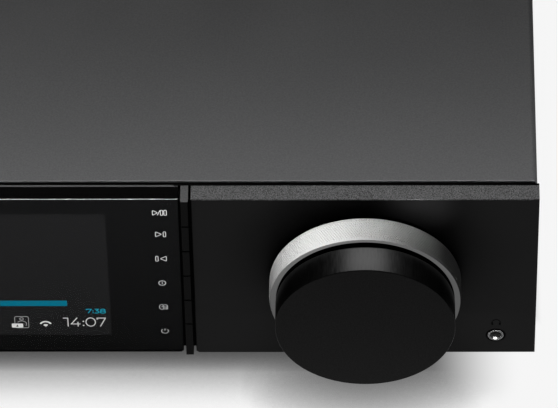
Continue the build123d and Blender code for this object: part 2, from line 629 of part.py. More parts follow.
def power_transformer():
    """Ferrite core with its winding between the cheeks."""
    core = block((-132, -92), (48, 84), (BOARD_TOP_Z, BOARD_TOP_Z + 32))
    core -= block((-133, -91), (54, 78), (BOARD_TOP_Z + 6, BOARD_TOP_Z + 26))
    return core + block((-126, -98), (53, 79), (BOARD_TOP_Z + 5, BOARD_TOP_Z + 27))


def power_heatsink():
    """Extruded heatsink with upright fins."""
    xs = (-146.0, -82.0)
    sink = block(xs, (12.0, 16.0), (BOARD_TOP_Z, BOARD_TOP_Z + 34))
    for i in range(9):
        x = xs[0] + 2 + 7.5 * i
        sink += block((x - 1, x + 1), (16.0, 32.0), (BOARD_TOP_Z, BOARD_TOP_Z + 34))
    return sink


def capacitors():
    """Smoothing capacitors on the power board and coupling capacitors on the main board."""
    large = [(x, 100, 11.0, 38.0) for x in (-137, -112, -87)]
    small = [(-5 + 12.0 * i, 50, 4.0, 12.0) for i in range(5)]
    made = []
    for x, y, radius, height in large + small:
        can = rod_z(x, y, radius, (BOARD_TOP_Z, BOARD_TOP_Z + height))
        made.append(fillet(can.edges().sort_by(Axis.Z)[-1], radius * 0.12))
    return Compound(children=made)


def heat_spreader():
    """Aluminium plate on the base that cools both amplifier modules."""
    plate = block(*SPREADER, (FLOOR_Z, FLOOR_Z + SPREADER_T))
    for board in AMP_BOARDS:
        for x, y in board_holes(board):
            plate -= rod_z(x, y, SCREW_R, (FLOOR_Z + 1.5, FLOOR_Z + SPREADER_T + 1))
    return plate


def amplifier_modules():
    """Two identical boards, each with its power stage, coils and reservoir block."""
    made = []
    for board in AMP_BOARDS:
        middle = sum(board[0]) / 2
        front = board[1][0]
        top = AMP_Z + BOARD_T
        module = circuit_board(board, AMP_Z)
        module += block((middle - 14, middle + 14), (front + 50, front + 74), (FLOOR_Z + SPREADER_T, AMP_Z))
        module += rod_z(middle, front + 84, 8, (top, top + 14))
        module += rod_z(middle, front + 103, 8, (top, top + 14))
        module += block((middle - 15, middle + 15), (front + 16, front + 30), (top, top + 18))
        made.append(module)
    return Compound(children=made)


def fixings():
    """(x, y, post's lowest Z, board's lowest Z) of every board fixing."""
    boards = [(MAIN_BOARD, FLOOR_Z, BOARD_Z), (POWER_BOARD, FLOOR_Z, BOARD_Z)]
    boards += [(board, FLOOR_Z + SPREADER_T, AMP_Z) for board in AMP_BOARDS]
    return [(x, y, low, high) for board, low, high in boards for x, y in board_holes(board)]


def standoffs():
    """Threaded posts under the boards."""
    made = []
    for x, y, low, high in fixings():
        made.append(rod_z(x, y, 3.0, (low, high)) - rod_z(x, y, SCREW_R, (low + 1, high + 1)))
    return Compound(children=made)


def board_screws():
    """Pan-head screws through the boards into the posts."""
    made = []
    for x, y, low, high in fixings():
        top = high + BOARD_T
        head = fillet(rod_z(x, y, HEAD_R, (top, top + 1.8)).edges().sort_by(Axis.Z)[-1], 0.6)
        made.append(head + rod_z(x, y, SCREW_R, (low + 2, top)))
    return Compound(children=made)


# ---- rear sockets --------------------------------------------------------------------------------
def mains_inlet():
    """Appliance inlet: flange, recessed body, three contact blades and two fixing screws."""
    flange = centred(INLET_X, MAINS_Z, 50, 24, (REAR_Y, REAR_Y + 3))
    flange = chamfer(flange.faces().sort_by(Axis.Y)[-1].edges(), 1.0)
    body = flange + centred(INLET_X, MAINS_Z, 27.4, 20.4, (REAR_Y - 22, REAR_Y))
    cavity = centred(INLET_X, MAINS_Z, 24.4, 16.6, (REAR_Y - 17, REAR_Y + 4))
    body -= chamfer(edges_along(cavity, Axis.Y, z=MAINS_Z + 8.3), 4.0)
    body -= [rod_y(INLET_X + side * 20, MAINS_Z, SCREW_R + 0.1, (REAR_Y - 1, REAR_Y + 4)) for side in (-1, 1)]
    blades = []
    for dx, dz in ((-7, -2), (0, 2), (7, -2)):
        slot = (INLET_X + dx, MAINS_Z + dz, 2.0, 4.0)
        body -= centred(*slot, (REAR_Y - 23, REAR_Y - 16))
        blades.append(centred(*slot, (REAR_Y - 26, REAR_Y - 2)))
    screws = []
    for side in (-1, 1):
        x = INLET_X + side * 20
        head = fillet(rod_y(x, MAINS_Z, HEAD_R, (REAR_Y + 3, REAR_Y + 4.6)).edges().sort_by(Axis.Y)[-1], 0.6)
        head -= centred(x, MAINS_Z, 3.4, 0.7, (REAR_Y + 3.9, REAR_Y + 6))
        screws.append(head + rod_y(x, MAINS_Z, SCREW_R, (REAR_Y - 6, REAR_Y + 3)))
    return Compound(children=[body, *blades, *screws])


def switch_frame():
    """Bezel and hollow body of the mains switch."""
    frame = centred(SWITCH_X, MAINS_Z, 15, 21.4, (REAR_Y, REAR_Y + 1.6))
    frame = chamfer(frame.faces().sort_by(Axis.Y)[-1].edges(), 0.5)
    frame += centred(SWITCH_X, MAINS_Z, 12.9, 19.3, (REAR_Y - 18, REAR_Y))
    frame -= centred(SWITCH_X, MAINS_Z, 10.6, 17.0, (REAR_Y - 12, REAR_Y + 3))
    pivot = rod_x(PIVOT_Y, MAINS_Z, PIVOT_R, (SWITCH_X - 6.0, SWITCH_X + 6.0))
    return frame + (pivot - centred(SWITCH_X, MAINS_Z, 10.0, 4, (REAR_Y - 5, REAR_Y)))


def mains_rocker():
    """Rocker on the frame's two stub pivots, made in its on position."""
    across = (SWITCH_X - 6, SWITCH_X + 6)
    rocker = centred(SWITCH_X, MAINS_Z, 9.8, 15.2, (REAR_Y - 7, REAR_Y + 3.0))
    rocker -= rod_x(REAR_Y + 24.0, MAINS_Z, 22.6, across)
    for side in (-1, 1):
        rocker -= block(across, (REAR_Y - 8, REAR_Y - 4), sorted((MAINS_Z + side * 3.5, MAINS_Z + side * 9)))
    rocker -= rod_x(PIVOT_Y, MAINS_Z, PIVOT_R + RUNNING, across)
    return Pos(0, PIVOT_Y, MAINS_Z) * Rot(ROCKER_TILT, 0, 0) * Pos(0, -PIVOT_Y, -MAINS_Z) * rocker


def terminal_x():
    """X of the four speaker terminals."""
    return [x + side * TERMINAL_PITCH / 2 for x in TERMINAL_PAIRS_X for side in (-1, 1)]


def terminal_bases():
    """Insulating collar of each speaker terminal, on both faces of the rear panel."""
    made = []
    for x in terminal_x():
        collar = rod_y(x, TERMINAL_Z, 8.2, (REAR_Y, REAR_Y + 3))
        collar = chamfer(collar.edges().sort_by(Axis.Y)[-1], 0.6)
        collar += rod_y(x, TERMINAL_Z, 5.0, (PANEL_IN_Y, REAR_Y))
        collar += rod_y(x, TERMINAL_Z, 7.0, (PANEL_IN_Y - 2, PANEL_IN_Y))
        made.append(collar - rod_y(x, TERMINAL_Z, STUD_R, (PANEL_IN_Y - 3, REAR_Y + 4)))
    return Compound(children=made)


def terminal_studs():
    """Plated stud of each speaker terminal, bored for a 4 mm plug and cross-drilled for bare wire."""
    made = []
    for x in terminal_x():
        stud = rod_y(x, TERMINAL_Z, STUD_R, (PANEL_IN_Y - 8, REAR_Y + TERMINAL_PROUD - 0.4))
        stud -= rod_y(x, TERMINAL_Z, BANANA_R, (REAR_Y + TERMINAL_PROUD - 14, REAR_Y + TERMINAL_PROUD))
        made.append(stud - rod_z(x, REAR_Y + 4.1, 1.0, (TERMINAL_Z - 5, TERMINAL_Z + 5)))
    return Compound(children=made)


def terminal_cap(x):
    """Fluted thumb nut that turns on a stud."""
    ys = (REAR_Y + 5.3, REAR_Y + TERMINAL_PROUD)
    cap = rod_y(x, TERMINAL_Z, 7.4, ys)
    cap = chamfer(cap.edges().sort_by(Axis.Y)[-1], 0.8)
    flutes = 12
    for i in range(flutes):
        angle = 2 * math.pi * i / flutes
        cap -= rod_y(x + 8.1 * math.cos(angle), TERMINAL_Z + 8.1 * math.sin(angle), 1.3, (ys[0] + 2, ys[1] + 1))
    return cap - rod_y(x, TERMINAL_Z, STUD_R + RUNNING, (ys[0] - 1, ys[1] + 1))


def phono_sockets():
    """Three stacked pairs of phono sockets on the main board."""
    made = []
    for x in PHONO_X:
        stack = block((x - 7, x + 7), (PANEL_IN_Y - 14, PANEL_IN_Y), (BOARD_TOP_Z, PHONO_Z[1] + 9))
        for z in PHONO_Z:
            stack += rod_y(x, z, PHONO_BOSS_R, (PANEL_IN_Y, REAR_Y + PHONO_BOSS_PROUD))
            stack += rod_y(x, z, PHONO_R, (REAR_Y, REAR_Y + PHONO_PROUD))
            mouth = (REAR_Y + 1.5, REAR_Y + PHONO_PROUD + 1)
            stack -= rod_y(x, z, 3.5, mouth) - rod_y(x, z, 2.7, mouth)
            stack -= rod_y(x, z, 1.6, (REAR_Y - 2, REAR_Y + PHONO_PROUD + 1))
        made.append(stack)
    return Compound(children=made)


def optical_socket():
    """Optical input with a recess behind its shutter."""
    z = BOARD_TOP_Z + 5.2
    body = centred(OPTICAL_X, z, 9.8, 10.4, (REAR_Y - 13, REAR_Y + 1.0))
    body -= centred(OPTICAL_X, z, 7.6, 7.8, (REAR_Y - 9.5, REAR_Y + 2))
    return body - rod_y(OPTICAL_X, z, 1.2, (REAR_Y - 12, REAR_Y - 9))


def optical_shutter():
    """Sprung flap that closes the optical input, hinged along its top edge."""
    z = BOARD_TOP_Z + 5.2
    flap = centred(OPTICAL_X, z - 0.35, 7.3, 6.7, (REAR_Y - 0.8, REAR_Y + 0.2))
    return flap + rod_x(REAR_Y - 0.3, z + 3.1, 0.6, (OPTICAL_X - 3.65, OPTICAL_X + 3.65))


def network_socket():
    """Shielded network socket with the latch notch at its bottom."""
    z = BOARD_TOP_Z + 6.8
    body = centred(LAN_X, z, 16.0, 13.6, (REAR_Y - 20, REAR_Y + 0.8))
    body -= centred(LAN_X, z + 0.6, 11.9, 6.9, (REAR_Y - 13, REAR_Y + 2))
    return body - centred(LAN_X, z - 3.6, 6.0, 2.6, (REAR_Y - 13, REAR_Y + 2))


def usb_socket():
    """USB socket with its contact tongue."""
    z = BOARD_TOP_Z + 3.6
    shell = centred(USB_X, z, 14.5, 7.2, (REAR_Y - 14, REAR_Y + 0.6))
    shell -= centred(USB_X, z, 12.5, 5.1, (REAR_Y - 10, REAR_Y + 2))
    return shell + centred(USB_X, z + 1.0, 11.0, 1.8, (REAR_Y - 10, REAR_Y - 1))


def aerial_sockets():
    """Two screw-on aerial sockets with a hexagon shoulder and an open mouth."""
    made = []
    for x in AERIAL_X:
        hexagon = extrude(RegularPolygon(4.0, 6, major_radius=False), 2.0)
        nut = Pos(x, REAR_Y + 2.0, AERIAL_Z) * Rot(90, 0, 0) * hexagon
        body = nut + rod_y(x, AERIAL_Z, AERIAL_R, (PANEL_IN_Y - 6, REAR_Y + AERIAL_PROUD))
        body += rod_y(x, AERIAL_Z, 4.2, (PANEL_IN_Y - 2, PANEL_IN_Y))
        body -= rod_y(x, AERIAL_Z, 2.3, (REAR_Y + 4, REAR_Y + AERIAL_PROUD + 1))
        made.append(body + rod_y(x, AERIAL_Z, 0.5, (REAR_Y + 4, REAR_Y + AERIAL_PROUD - 1)))
    return Compound(children=made)


# ---- wiring --------------------------------------------------------------------------------------
def wiring_harness():
    """Mains leads between inlet, switch and power board, and the four speaker leads."""
    tab_y = REAR_Y - 26
    switch_y = REAR_Y - 18
    down = (0, 0, -1)
    live = [(INLET_X - 7, tab_y, MAINS_Z - 2), (INLET_X + 6, 119, 60), (SWITCH_X, switch_y, 51)]
    made = [wire_run(live, 1.3, (0, 1, 0))]
    made.append(wire_run([(INLET_X, tab_y, MAINS_Z + 2), (INLET_X, 118, BOARD_TOP_Z)], 1.3, down))
    made.append(wire_run([(INLET_X + 7, tab_y, MAINS_Z - 2), (INLET_X + 9, 118, BOARD_TOP_Z)], 1.3, down))
    made.append(wire_run([(SWITCH_X, switch_y, 41), (SWITCH_X - 4, 120, BOARD_TOP_Z)], 1.3, down))
    for (xs, ys), pair_x in zip(AMP_BOARDS, TERMINAL_PAIRS_X):
        for side in (-1, 1):
            start = (pair_x + side * TERMINAL_PITCH / 2, PANEL_IN_Y - 8, TERMINAL_Z)
            end = (sum(xs) / 2 + side * 8, ys[1] - 4, AMP_Z + BOARD_T)
            made.append(wire_run([start, end], 1.3, down))
    return Compound(children=made)


def display_ribbon():
    """Flat cable from the display tray, down along the floor and up to the main board's edge."""
    plug_y = TRAY_FRONT_Y + TRAY_T + PLUG_T
    board_y = MAIN_BOARD[1][0]
    low = FLOOR_Z + 1.0
    high = BOARD_TOP_Z + 0.3
    corners = [(plug_y, RIBBON_Z), (plug_y + 8, RIBBON_Z), (plug_y + 16, low)]
    corners += [(board_y - 16, low), (board_y - 8, high), (board_y + 1, high)]
    path = FilletPolyline(*[(RIBBON_X, y, z) for y, z in corners], radius=3.0)
    return sweep(Plane(origin=path @ 0, x_dir=(1, 0, 0), z_dir=path % 0) * Rectangle(RIBBON_W, RIBBON_T), path)


# ---- the assembly --------------------------------------------------------------------------------
def parts():
    """Every node's name and shape."""
    made = {f"key_{name}": key(low, high) for name, low, high in key_spans()}
    for name, x in zip(TERMINAL_CAPS, terminal_x()):
        made[f"terminal_cap_{name}"] = terminal_cap(x)
    singles = (base_pan, top_cover, case_screws, rear_panel, front_subframe, fascia, feet, foot_pads, foot_screws)
    singles += (display_lens, lens_carrier, lcd_cell, lcd_tray, key_guide, key_switches, key_board)
    singles += (volume_knob, volume_shaft, selector_ring, selector_hub, selector_shaft, dual_encoder, encoder_nut)
    singles += (control_board, headphone_bezel, headphone_socket, main_board, main_board_chips, network_module)
    singles += (power_board, power_transformer, power_heatsink, capacitors, heat_spreader, amplifier_modules)
    singles += (standoffs, board_screws, mains_inlet, switch_frame, mains_rocker, terminal_bases, terminal_studs)
    singles += (phono_sockets, optical_socket, optical_shutter, network_socket, usb_socket, aerial_sockets)
    singles += (wiring_harness, display_ribbon)
    for make in singles:
        made[make.__name__] = make()
    return made


os.makedirs("parts", exist_ok=True)
for node, shape in parts().items():
    export_step(shape, f"parts/{node}.step")
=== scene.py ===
"""Looks for the network audio player: finishes, finer turned and printed pieces, light and camera.

Lengths are in metres, written as a number times MM. Only what a Sheet, a Finish or add_ball takes is in
millimetres. The frame is the CAD one: X to the right, Y to the back, Z up.
"""

import math

import bmesh
import bpy
from mathutils import Matrix, Vector


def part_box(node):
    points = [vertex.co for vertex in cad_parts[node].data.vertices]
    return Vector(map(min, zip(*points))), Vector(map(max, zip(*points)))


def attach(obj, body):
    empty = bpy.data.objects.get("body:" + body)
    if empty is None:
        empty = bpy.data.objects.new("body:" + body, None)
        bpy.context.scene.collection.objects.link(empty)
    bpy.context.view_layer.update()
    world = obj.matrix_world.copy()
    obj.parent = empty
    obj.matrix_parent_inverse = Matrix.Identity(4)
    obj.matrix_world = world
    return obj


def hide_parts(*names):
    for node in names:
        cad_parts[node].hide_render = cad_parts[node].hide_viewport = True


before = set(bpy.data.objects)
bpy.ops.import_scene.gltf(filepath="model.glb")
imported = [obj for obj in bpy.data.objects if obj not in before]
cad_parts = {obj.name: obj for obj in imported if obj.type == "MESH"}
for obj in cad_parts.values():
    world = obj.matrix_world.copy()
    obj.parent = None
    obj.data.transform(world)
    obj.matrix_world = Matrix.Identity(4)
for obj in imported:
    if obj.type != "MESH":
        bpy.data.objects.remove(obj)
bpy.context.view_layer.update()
MM = 0.001


# ---- places, worked out from the frame ----
def middle(node):
    """Centre of a CAD node's box."""
    low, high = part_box(node)
    return (low + high) / 2


KNOB = middle("volume_knob")
FASCIA_LOW, FASCIA_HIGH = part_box("fascia")
LENS_LOW, LENS_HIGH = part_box("display_lens")
CELL_LOW, CELL_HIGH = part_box("lcd_cell")
COVER_LOW, COVER_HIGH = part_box("top_cover")
REAR_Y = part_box("rear_panel")[1].y
CELL_BORDER = 4.2 * MM
SCREEN_RIGHT = CELL_HIGH.x - CELL_BORDER
SCREEN_LEFT = CELL_LOW.x + CELL_BORDER
SCREEN_BOTTOM = CELL_LOW.z + CELL_BORDER
SCREEN_TOP = CELL_HIGH.z - CELL_BORDER
SCREEN_TALL = (SCREEN_TOP - SCREEN_BOTTOM) / MM


# ---- mesh tools ----
def add_piece(name, bm, material, body="root", corner=35.0, stands_for=None):
    """Makes a bmesh into an object that rides on a body, smooth except at edges sharper than corner."""
    bmesh.ops.recalc_face_normals(bm, faces=bm.faces)
    mesh = bpy.data.meshes.new(name)
    bm.to_mesh(mesh)
    bm.free()
    mesh.shade_smooth()
    mesh.set_sharp_from_angle(angle=math.radians(corner))
    mesh.materials.append(material)
    piece = bpy.data.objects.new(name, mesh)
    bpy.context.scene.collection.objects.link(piece)
    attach(piece, body)
    if stands_for:
        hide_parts(stands_for)
    return piece


def rounded(points, radius, steps=4):
    """A closed outline with each corner replaced by an arc."""
    out = []
    for i, point in enumerate(points):
        here = Vector(point)
        to_last = Vector(points[i - 1]) - here
        to_next = Vector(points[(i + 1) % len(points)]) - here
        half = to_last.angle(to_next) / 2
        reach = min(radius / math.tan(half), to_last.length * 0.49, to_next.length * 0.49)
        start = here + to_last.normalized() * reach
        end = here + to_next.normalized() * reach
        for step in range(steps + 1):
            t = step / steps
            out.append(tuple(start * (1 - t) ** 2 + here * 2 * t * (1 - t) + end * t * t))
    return out


def arc(x, z, rx, rz, start, end, steps=16):
    """Points on an ellipse from start to end degrees."""
    angles = [math.radians(start + (end - start) * i / steps) for i in range(steps + 1)]
    return [(x + rx * math.cos(a), z + rz * math.sin(a)) for a in angles]


def oval(x, z, rx, rz=None, steps=32):
    """A closed ellipse, or a circle if it has only one radius."""
    return arc(x, z, rx, rx if rz is None else rz, 0, 360, steps)[:-1]


def rectangle(x0, z0, x1, z1, radius=0.0):
    """A closed rectangle, with round corners if a radius is given."""
    corners = [(x0, z0), (x1, z0), (x1, z1), (x0, z1)]
    return rounded(corners, radius, 3) if radius else corners


def join(bm, first, second):
    """Joins two rings of vertices with square faces."""
    for i in range(len(first)):
        k = (i + 1) % len(first)
        bm.faces.new((first[i], first[k], second[k], second[i]))


def turn(bm, profile, centre, segments=96, relief=None, solid=False):
    """Revolves (radius, y) points round the Y axis through centre; relief(i, j) adds to a radius.

    The profile is closed, or, when solid, open with a face over each end. Returns the rings of vertices.
    """
    rows = []
    for j, (radius, y) in enumerate(profile):
        row = []
        for i in range(segments):
            angle = 2 * math.pi * i / segments
            r = radius + (relief(i, j) if relief else 0)
            row.append(bm.verts.new((centre.x + r * math.cos(angle), y, centre.z + r * math.sin(angle))))
        rows.append(row)
    for here, following in zip(rows, rows[1:]):
        join(bm, here, following)
    if solid:
        bm.faces.new(rows[0])
        bm.faces.new(rows[-1])
    else:
        join(bm, rows[-1], rows[0])
    return rows


def slab(bm, outline, near, far, bevel=0.0, steps=3):
    """A flat piece in the XZ plane between two Y planes, with its near edge rounded."""
    front = [bm.verts.new((x, near, z)) for x, z in outline]
    back = [bm.verts.new((x, far, z)) for x, z in outline]
    face = bm.faces.new(front)
    bm.faces.new(back[::-1])
    join(bm, front, back)
    if bevel:
        rim = list(face.edges)
        bmesh.ops.bevel(bm, geom=rim, offset=bevel, segments=steps, profile=0.5, affect="EDGES")


def stroke(bm, points, width, near, far, closed=False):
    """A line of square section along a path in the XZ plane, with mitred corners."""
    sections = []
    count = len(points)
    for i in range(count):
        here = Vector(points[i])
        before = Vector(points[i - 1]) if closed or i else here
        after = Vector(points[(i + 1) % count]) if closed or i < count - 1 else here
        into = (here - before).normalized() if here != before else (after - here).normalized()
        out = (after - here).normalized() if after != here else into
        mid = (into + out).normalized()
        side = Vector((-mid.y, mid.x)) * (width / 2 / max(0.35, mid.dot(out)))
        corners = [(here + side, near), (here - side, near), (here - side, far), (here + side, far)]
        sections.append([bm.verts.new((p.x, y, p.y)) for p, y in corners])
    for here, there in zip(sections, sections[1:]):
        join(bm, here, there)
    if closed:
        join(bm, sections[-1], sections[0])
    else:
        bm.faces.new(sections[0])
        bm.faces.new(sections[-1][::-1])


class Sheet:
    """Flat shapes drawn in millimetres from an origin (x, z), all between the same two Y planes."""

    def __init__(self, near, far, x=0.0, z=0.0):
        self.bm = bmesh.new()
        self.near, self.far = near, far
        self.move(x, z)

    def move(self, x, z):
        """Puts the origin somewhere else, in metres."""
        self.x, self.z = x, z

    def placed(self, points):
        return [(self.x + x * MM, self.z + z * MM) for x, z in points]

    def fill(self, points, bevel=0.0, steps=3):
        slab(self.bm, self.placed(points), self.near, self.far, bevel * MM, steps)

    def line(self, points, width, closed=False):
        stroke(self.bm, self.placed(points), width * MM, self.near, self.far, closed)

    def add(self, name, material, slot):
        return add_piece(name, self.bm, material)


# ---- material tools ----
class Finish:
    """A node material under construction: a Principled shader, with object coordinates in millimetres."""

    def __init__(self, name, colour, roughness, metallic=0.0, specular=0.5):
        self.material = bpy.data.materials.new(name)
        self.material.use_nodes = True
        self.nodes = self.material.node_tree.nodes
        self.set("Base Color", colour)
        self.set("Roughness", roughness)
        self.set("Metallic", metallic)
        self.set("Specular IOR Level", specular)
        position = self.new("TexCoord").outputs["Object"]
        self.place = self.new("VectorMath", {0: position, "Scale": 1 / MM}, operation="SCALE").outputs[0]

    def new(self, kind, inputs=None, **settings):
        """Makes a shader node with its settings made and some of its inputs fed."""
        node = self.nodes.new("ShaderNode" + kind)
        for name, value in settings.items():
            setattr(node, name, value)
        for name, value in (inputs or {}).items():
            self.feed(node.inputs[name], value)
        return node

    def feed(self, socket, value):
        """Gives an input a number, a colour or another node's output."""
        if isinstance(value, bpy.types.NodeSocket):
            self.material.node_tree.links.new(value, socket)
        elif isinstance(value, tuple) and len(socket.default_value) == 4:
            socket.default_value = (*value, 1)
        else:
            socket.default_value = value

    def set(self, name, value):
        """Feeds an input of the material's own shader."""
        self.feed(self.nodes["Principled BSDF"].inputs[name], value)

    def surface(self, shader):
        """Puts another shader in place of the Principled one."""
        self.feed(self.nodes["Material Output"].inputs["Surface"], shader.outputs[0])

    def noise(self, size, detail=2.0, stretch=None):
        """Noise whose features are about size across, 0 to 1."""
        place = self.place
        if stretch:
            place = self.new("Mapping", {"Vector": place, "Scale": stretch}).outputs[0]
        return self.new("TexNoise", {"Vector": place, "Scale": 1 / size, "Detail": detail}).outputs["Fac"]

    def vary(self, size, detail, low, high, stretch=None):
        """Noise that wanders between two values."""
        return self.remap(self.noise(size, detail, stretch), 0.3, 0.7, low, high)

    def cells(self, size):
        """A value for each small cell, 0 to 1, for flakes and grains."""
        cells = self.new("TexVoronoi", {"Vector": self.place, "Scale": 1 / size})
        return self.new("SeparateColor", {0: cells.outputs["Color"]}).outputs[0]

    def remap(self, value, low, high, to_low=0, to_high=1, curve="LINEAR"):
        """Stretches a value from one range to another, clamped."""
        inputs = {"Value": value, "From Min": low, "From Max": high, "To Min": to_low, "To Max": to_high}
        return self.new("MapRange", inputs, interpolation_type=curve).outputs["Result"]

    def math(self, operation, first, second=0.0):
        """One arithmetic node on two values."""
        return self.new("Math", {0: first, 1: second}, operation=operation).outputs[0]

    def times(self, first, *others):
        """The product of several values."""
        for other in others:
            first = self.math("MULTIPLY", first, other)
        return first

    def axis(self, letter):
        """One coordinate, in millimetres."""
        return self.new("SeparateXYZ", {0: self.place}).outputs[letter]

    def facing(self, letter):
        """One part of the surface's normal, -1 to 1."""
        return self.new("SeparateXYZ", {0: self.new("NewGeometry").outputs["Normal"]}).outputs[letter]

    def to_front(self, low, high):
        """0 to 1 as the surface turns to the front."""
        return self.remap(self.times(self.facing("Y"), -1), low, high)

    def edge(self, radius):
        """1 on the object's worn edges, 0 on its flats."""
        softened = self.new("Bevel", {"Radius": radius * MM}, samples=4).outputs[0]
        normal = self.new("NewGeometry").outputs["Normal"]
        dot = self.new("VectorMath", {0: softened, 1: normal}, operation="DOT_PRODUCT")
        return self.remap(dot.outputs["Value"], 0.98, 0.75)

    def shelter(self, reach, direction):
        """1 where the surface is open in a direction, towards 0 where pieces within reach block it."""
        way = self.new("CombineXYZ", dict(enumerate(direction))).outputs[0]
        inputs = {"Distance": reach * MM, "Normal": way}
        return self.new("AmbientOcclusion", inputs, samples=12).outputs["AO"]

    def blend(self, amount, first, second):
        """Mixes two colours by amount."""
        return self.new("Mix", {"Factor": amount, 6: first, 7: second}, data_type="RGBA").outputs[2]

    def glow(self, strength, colour=(1.0, 1.0, 1.0)):
        """Light given off."""
        self.set("Emission Color", colour)
        self.set("Emission Strength", strength)

    def bump(self, height, depth, strength=0.5):
        """Relief of the given depth."""
        bump = self.new("Bump", {"Height": height, "Distance": depth * MM, "Strength": strength})
        self.set("Normal", bump.outputs[0])


def tint(colour, factor, lift=0.0):
    """A colour made lighter or darker by a factor and then lifted."""
    return tuple(min(1, c * factor + lift) for c in colour)


# ---- finishes ----
PAINTED_FOLD_HIGHLIGHT = 1.9  # painted highlight along the cover's front edge: how much brighter than its paint
PAINTED_FOLD_BAND = (0.42, 0.36)


def textured_paint(name, colour, grain_size, contrast, roughness, specular=0.5, wear=0.25, painted_highlight_y=None):
    """Baked powder paint: orange-peel grain, faint mottling, polished edges and, along the edge at the given
    Y, a painted highlight.
    """
    finish = Finish(name, colour, roughness, specular=specular)
    grain = finish.noise(grain_size, 3)
    mottle = finish.noise(38, 4)
    light = tint(colour, 1 + contrast)
    base = finish.blend(finish.remap(grain, 0.32, 0.68), tint(colour, 1 - contrast), light)
    base = finish.blend(finish.remap(mottle, 0.3, 0.7, 0, 0.10), base, light)
    base = finish.blend(finish.times(finish.edge(0.35), wear), base, tint(colour, 2.2))
    if painted_highlight_y is not None:
        # Painted highlight: a band along the front edge, on faces looking up, is coloured brighter than the
        # paint.
        highlight_ends, highlight_starts = (painted_highlight_y / MM + width for width in PAINTED_FOLD_BAND)
        at_painted_highlight = finish.remap(finish.axis("Y"), highlight_ends, highlight_starts)
        at_painted_highlight = finish.times(at_painted_highlight, finish.remap(finish.facing("Z"), 0.5, 0.8))
        base = finish.blend(at_painted_highlight, base, tint(colour, PAINTED_FOLD_HIGHLIGHT))
    finish.set("Base Color", base)
    finish.set("Roughness", finish.remap(mottle, 0.3, 0.7, roughness - 0.04, roughness + 0.05))
    finish.bump(grain, 0.02, 0.6)
    return finish.material


TOP_SHEEN = 0.35
PAINTED_TOP_DEPTH = 0.8  # how far below the top the painted lighter top reaches
# A painted reflection of the dark knob on the satin front, as painted shade in its colour: how far it looks,
# which way, and what it counts as open.
PAINTED_REFLECTION_REACH = 26.0
PAINTED_REFLECTION_WAY = (0.0, -0.65, -0.76)
PAINTED_REFLECTION_OPEN = (0.43, 0.80)
PAINTED_REFLECTION_ABOVE = (30.0, 45.0)  # the heights between which the painted reflection sets in
PAINTED_REFLECTION_SHADE = 0.12  # what is left of the colour where the knob's painted reflection darkens it


def blasted_alloy(name, colour, painted_top_colour, grain_size, contrast, roughness, specular):
    """Black anodised aluminium, bead blasted: its top edge is coloured a much lighter speckled grain as a
    painted lit top, and its front is coloured darker where the knob would be mirrored, as a painted
    reflection.
    """
    finish = Finish(name, colour, roughness, specular=specular)
    # Painted lit top: faces looking up along the top edge take a far lighter, speckled colour than the front.
    on_top = finish.math("GREATER_THAN", finish.axis("Z"), FASCIA_HIGH.z / MM - PAINTED_TOP_DEPTH)
    up = finish.times(finish.remap(finish.facing("Z"), 0.35, 0.8), on_top)
    grain = finish.noise(grain_size, 2)
    flakes = finish.cells(grain_size * 0.6)
    mixed = finish.math("ADD", finish.times(grain, 0.75), finish.times(flakes, 0.25))
    dark, light = tint(painted_top_colour, 1 - contrast), tint(painted_top_colour, 1 + contrast)
    speckled_painted_top = finish.blend(finish.remap(mixed, 0.36, 0.66), dark, light)
    # Painted reflection: where the knob would be mirrored, the front's colour and specular are darkened as
    # painted shade.
    clear_of_painted_reflection = finish.remap(finish.shelter(PAINTED_REFLECTION_REACH, PAINTED_REFLECTION_WAY), *PAINTED_REFLECTION_OPEN)
    low_down = finish.remap(finish.axis("Z"), *PAINTED_REFLECTION_ABOVE, 1, 0)
    open_front = finish.math("MAXIMUM", clear_of_painted_reflection, low_down)
    front = finish.blend(open_front, tint(colour, PAINTED_REFLECTION_SHADE), colour)
    finish.set("Base Color", finish.blend(up, front, speckled_painted_top))
    finish.set("Specular IOR Level", finish.remap(up, 0, 1, finish.times(open_front, specular), TOP_SHEEN))
    finish.set("Roughness", finish.vary(22, 4, roughness - 0.03, roughness + 0.04))
    finish.bump(mixed, 0.012)
    return finish.material


def ring_alloy(name, colour, face_colour, roughness, painted_floor_glow):
    """Silver anodised ring: a bright rough knurl, and a darker turned front face with a painted glow that
    stands in for the floor's reflection.
    """
    finish = Finish(name, colour, roughness)
    front = finish.to_front(0.88, 0.97)
    grain = finish.vary(0.5, 3, 0, 1)
    knurl = finish.blend(grain, tint(colour, 0.93), colour)
    face = finish.blend(grain, tint(face_colour, 0.9), tint(face_colour, 1.1))
    finish.set("Base Color", finish.blend(front, knurl, face))
    finish.set("Specular IOR Level", finish.remap(front, 0, 1, 0.25, 0.1))
    finish.set("Roughness", finish.vary(14, 3, roughness - 0.03, roughness + 0.03))
    # Painted reflection: the turned front face glows as if it held the floor's light.
    finish.glow(finish.times(front, painted_floor_glow))
    return finish.material


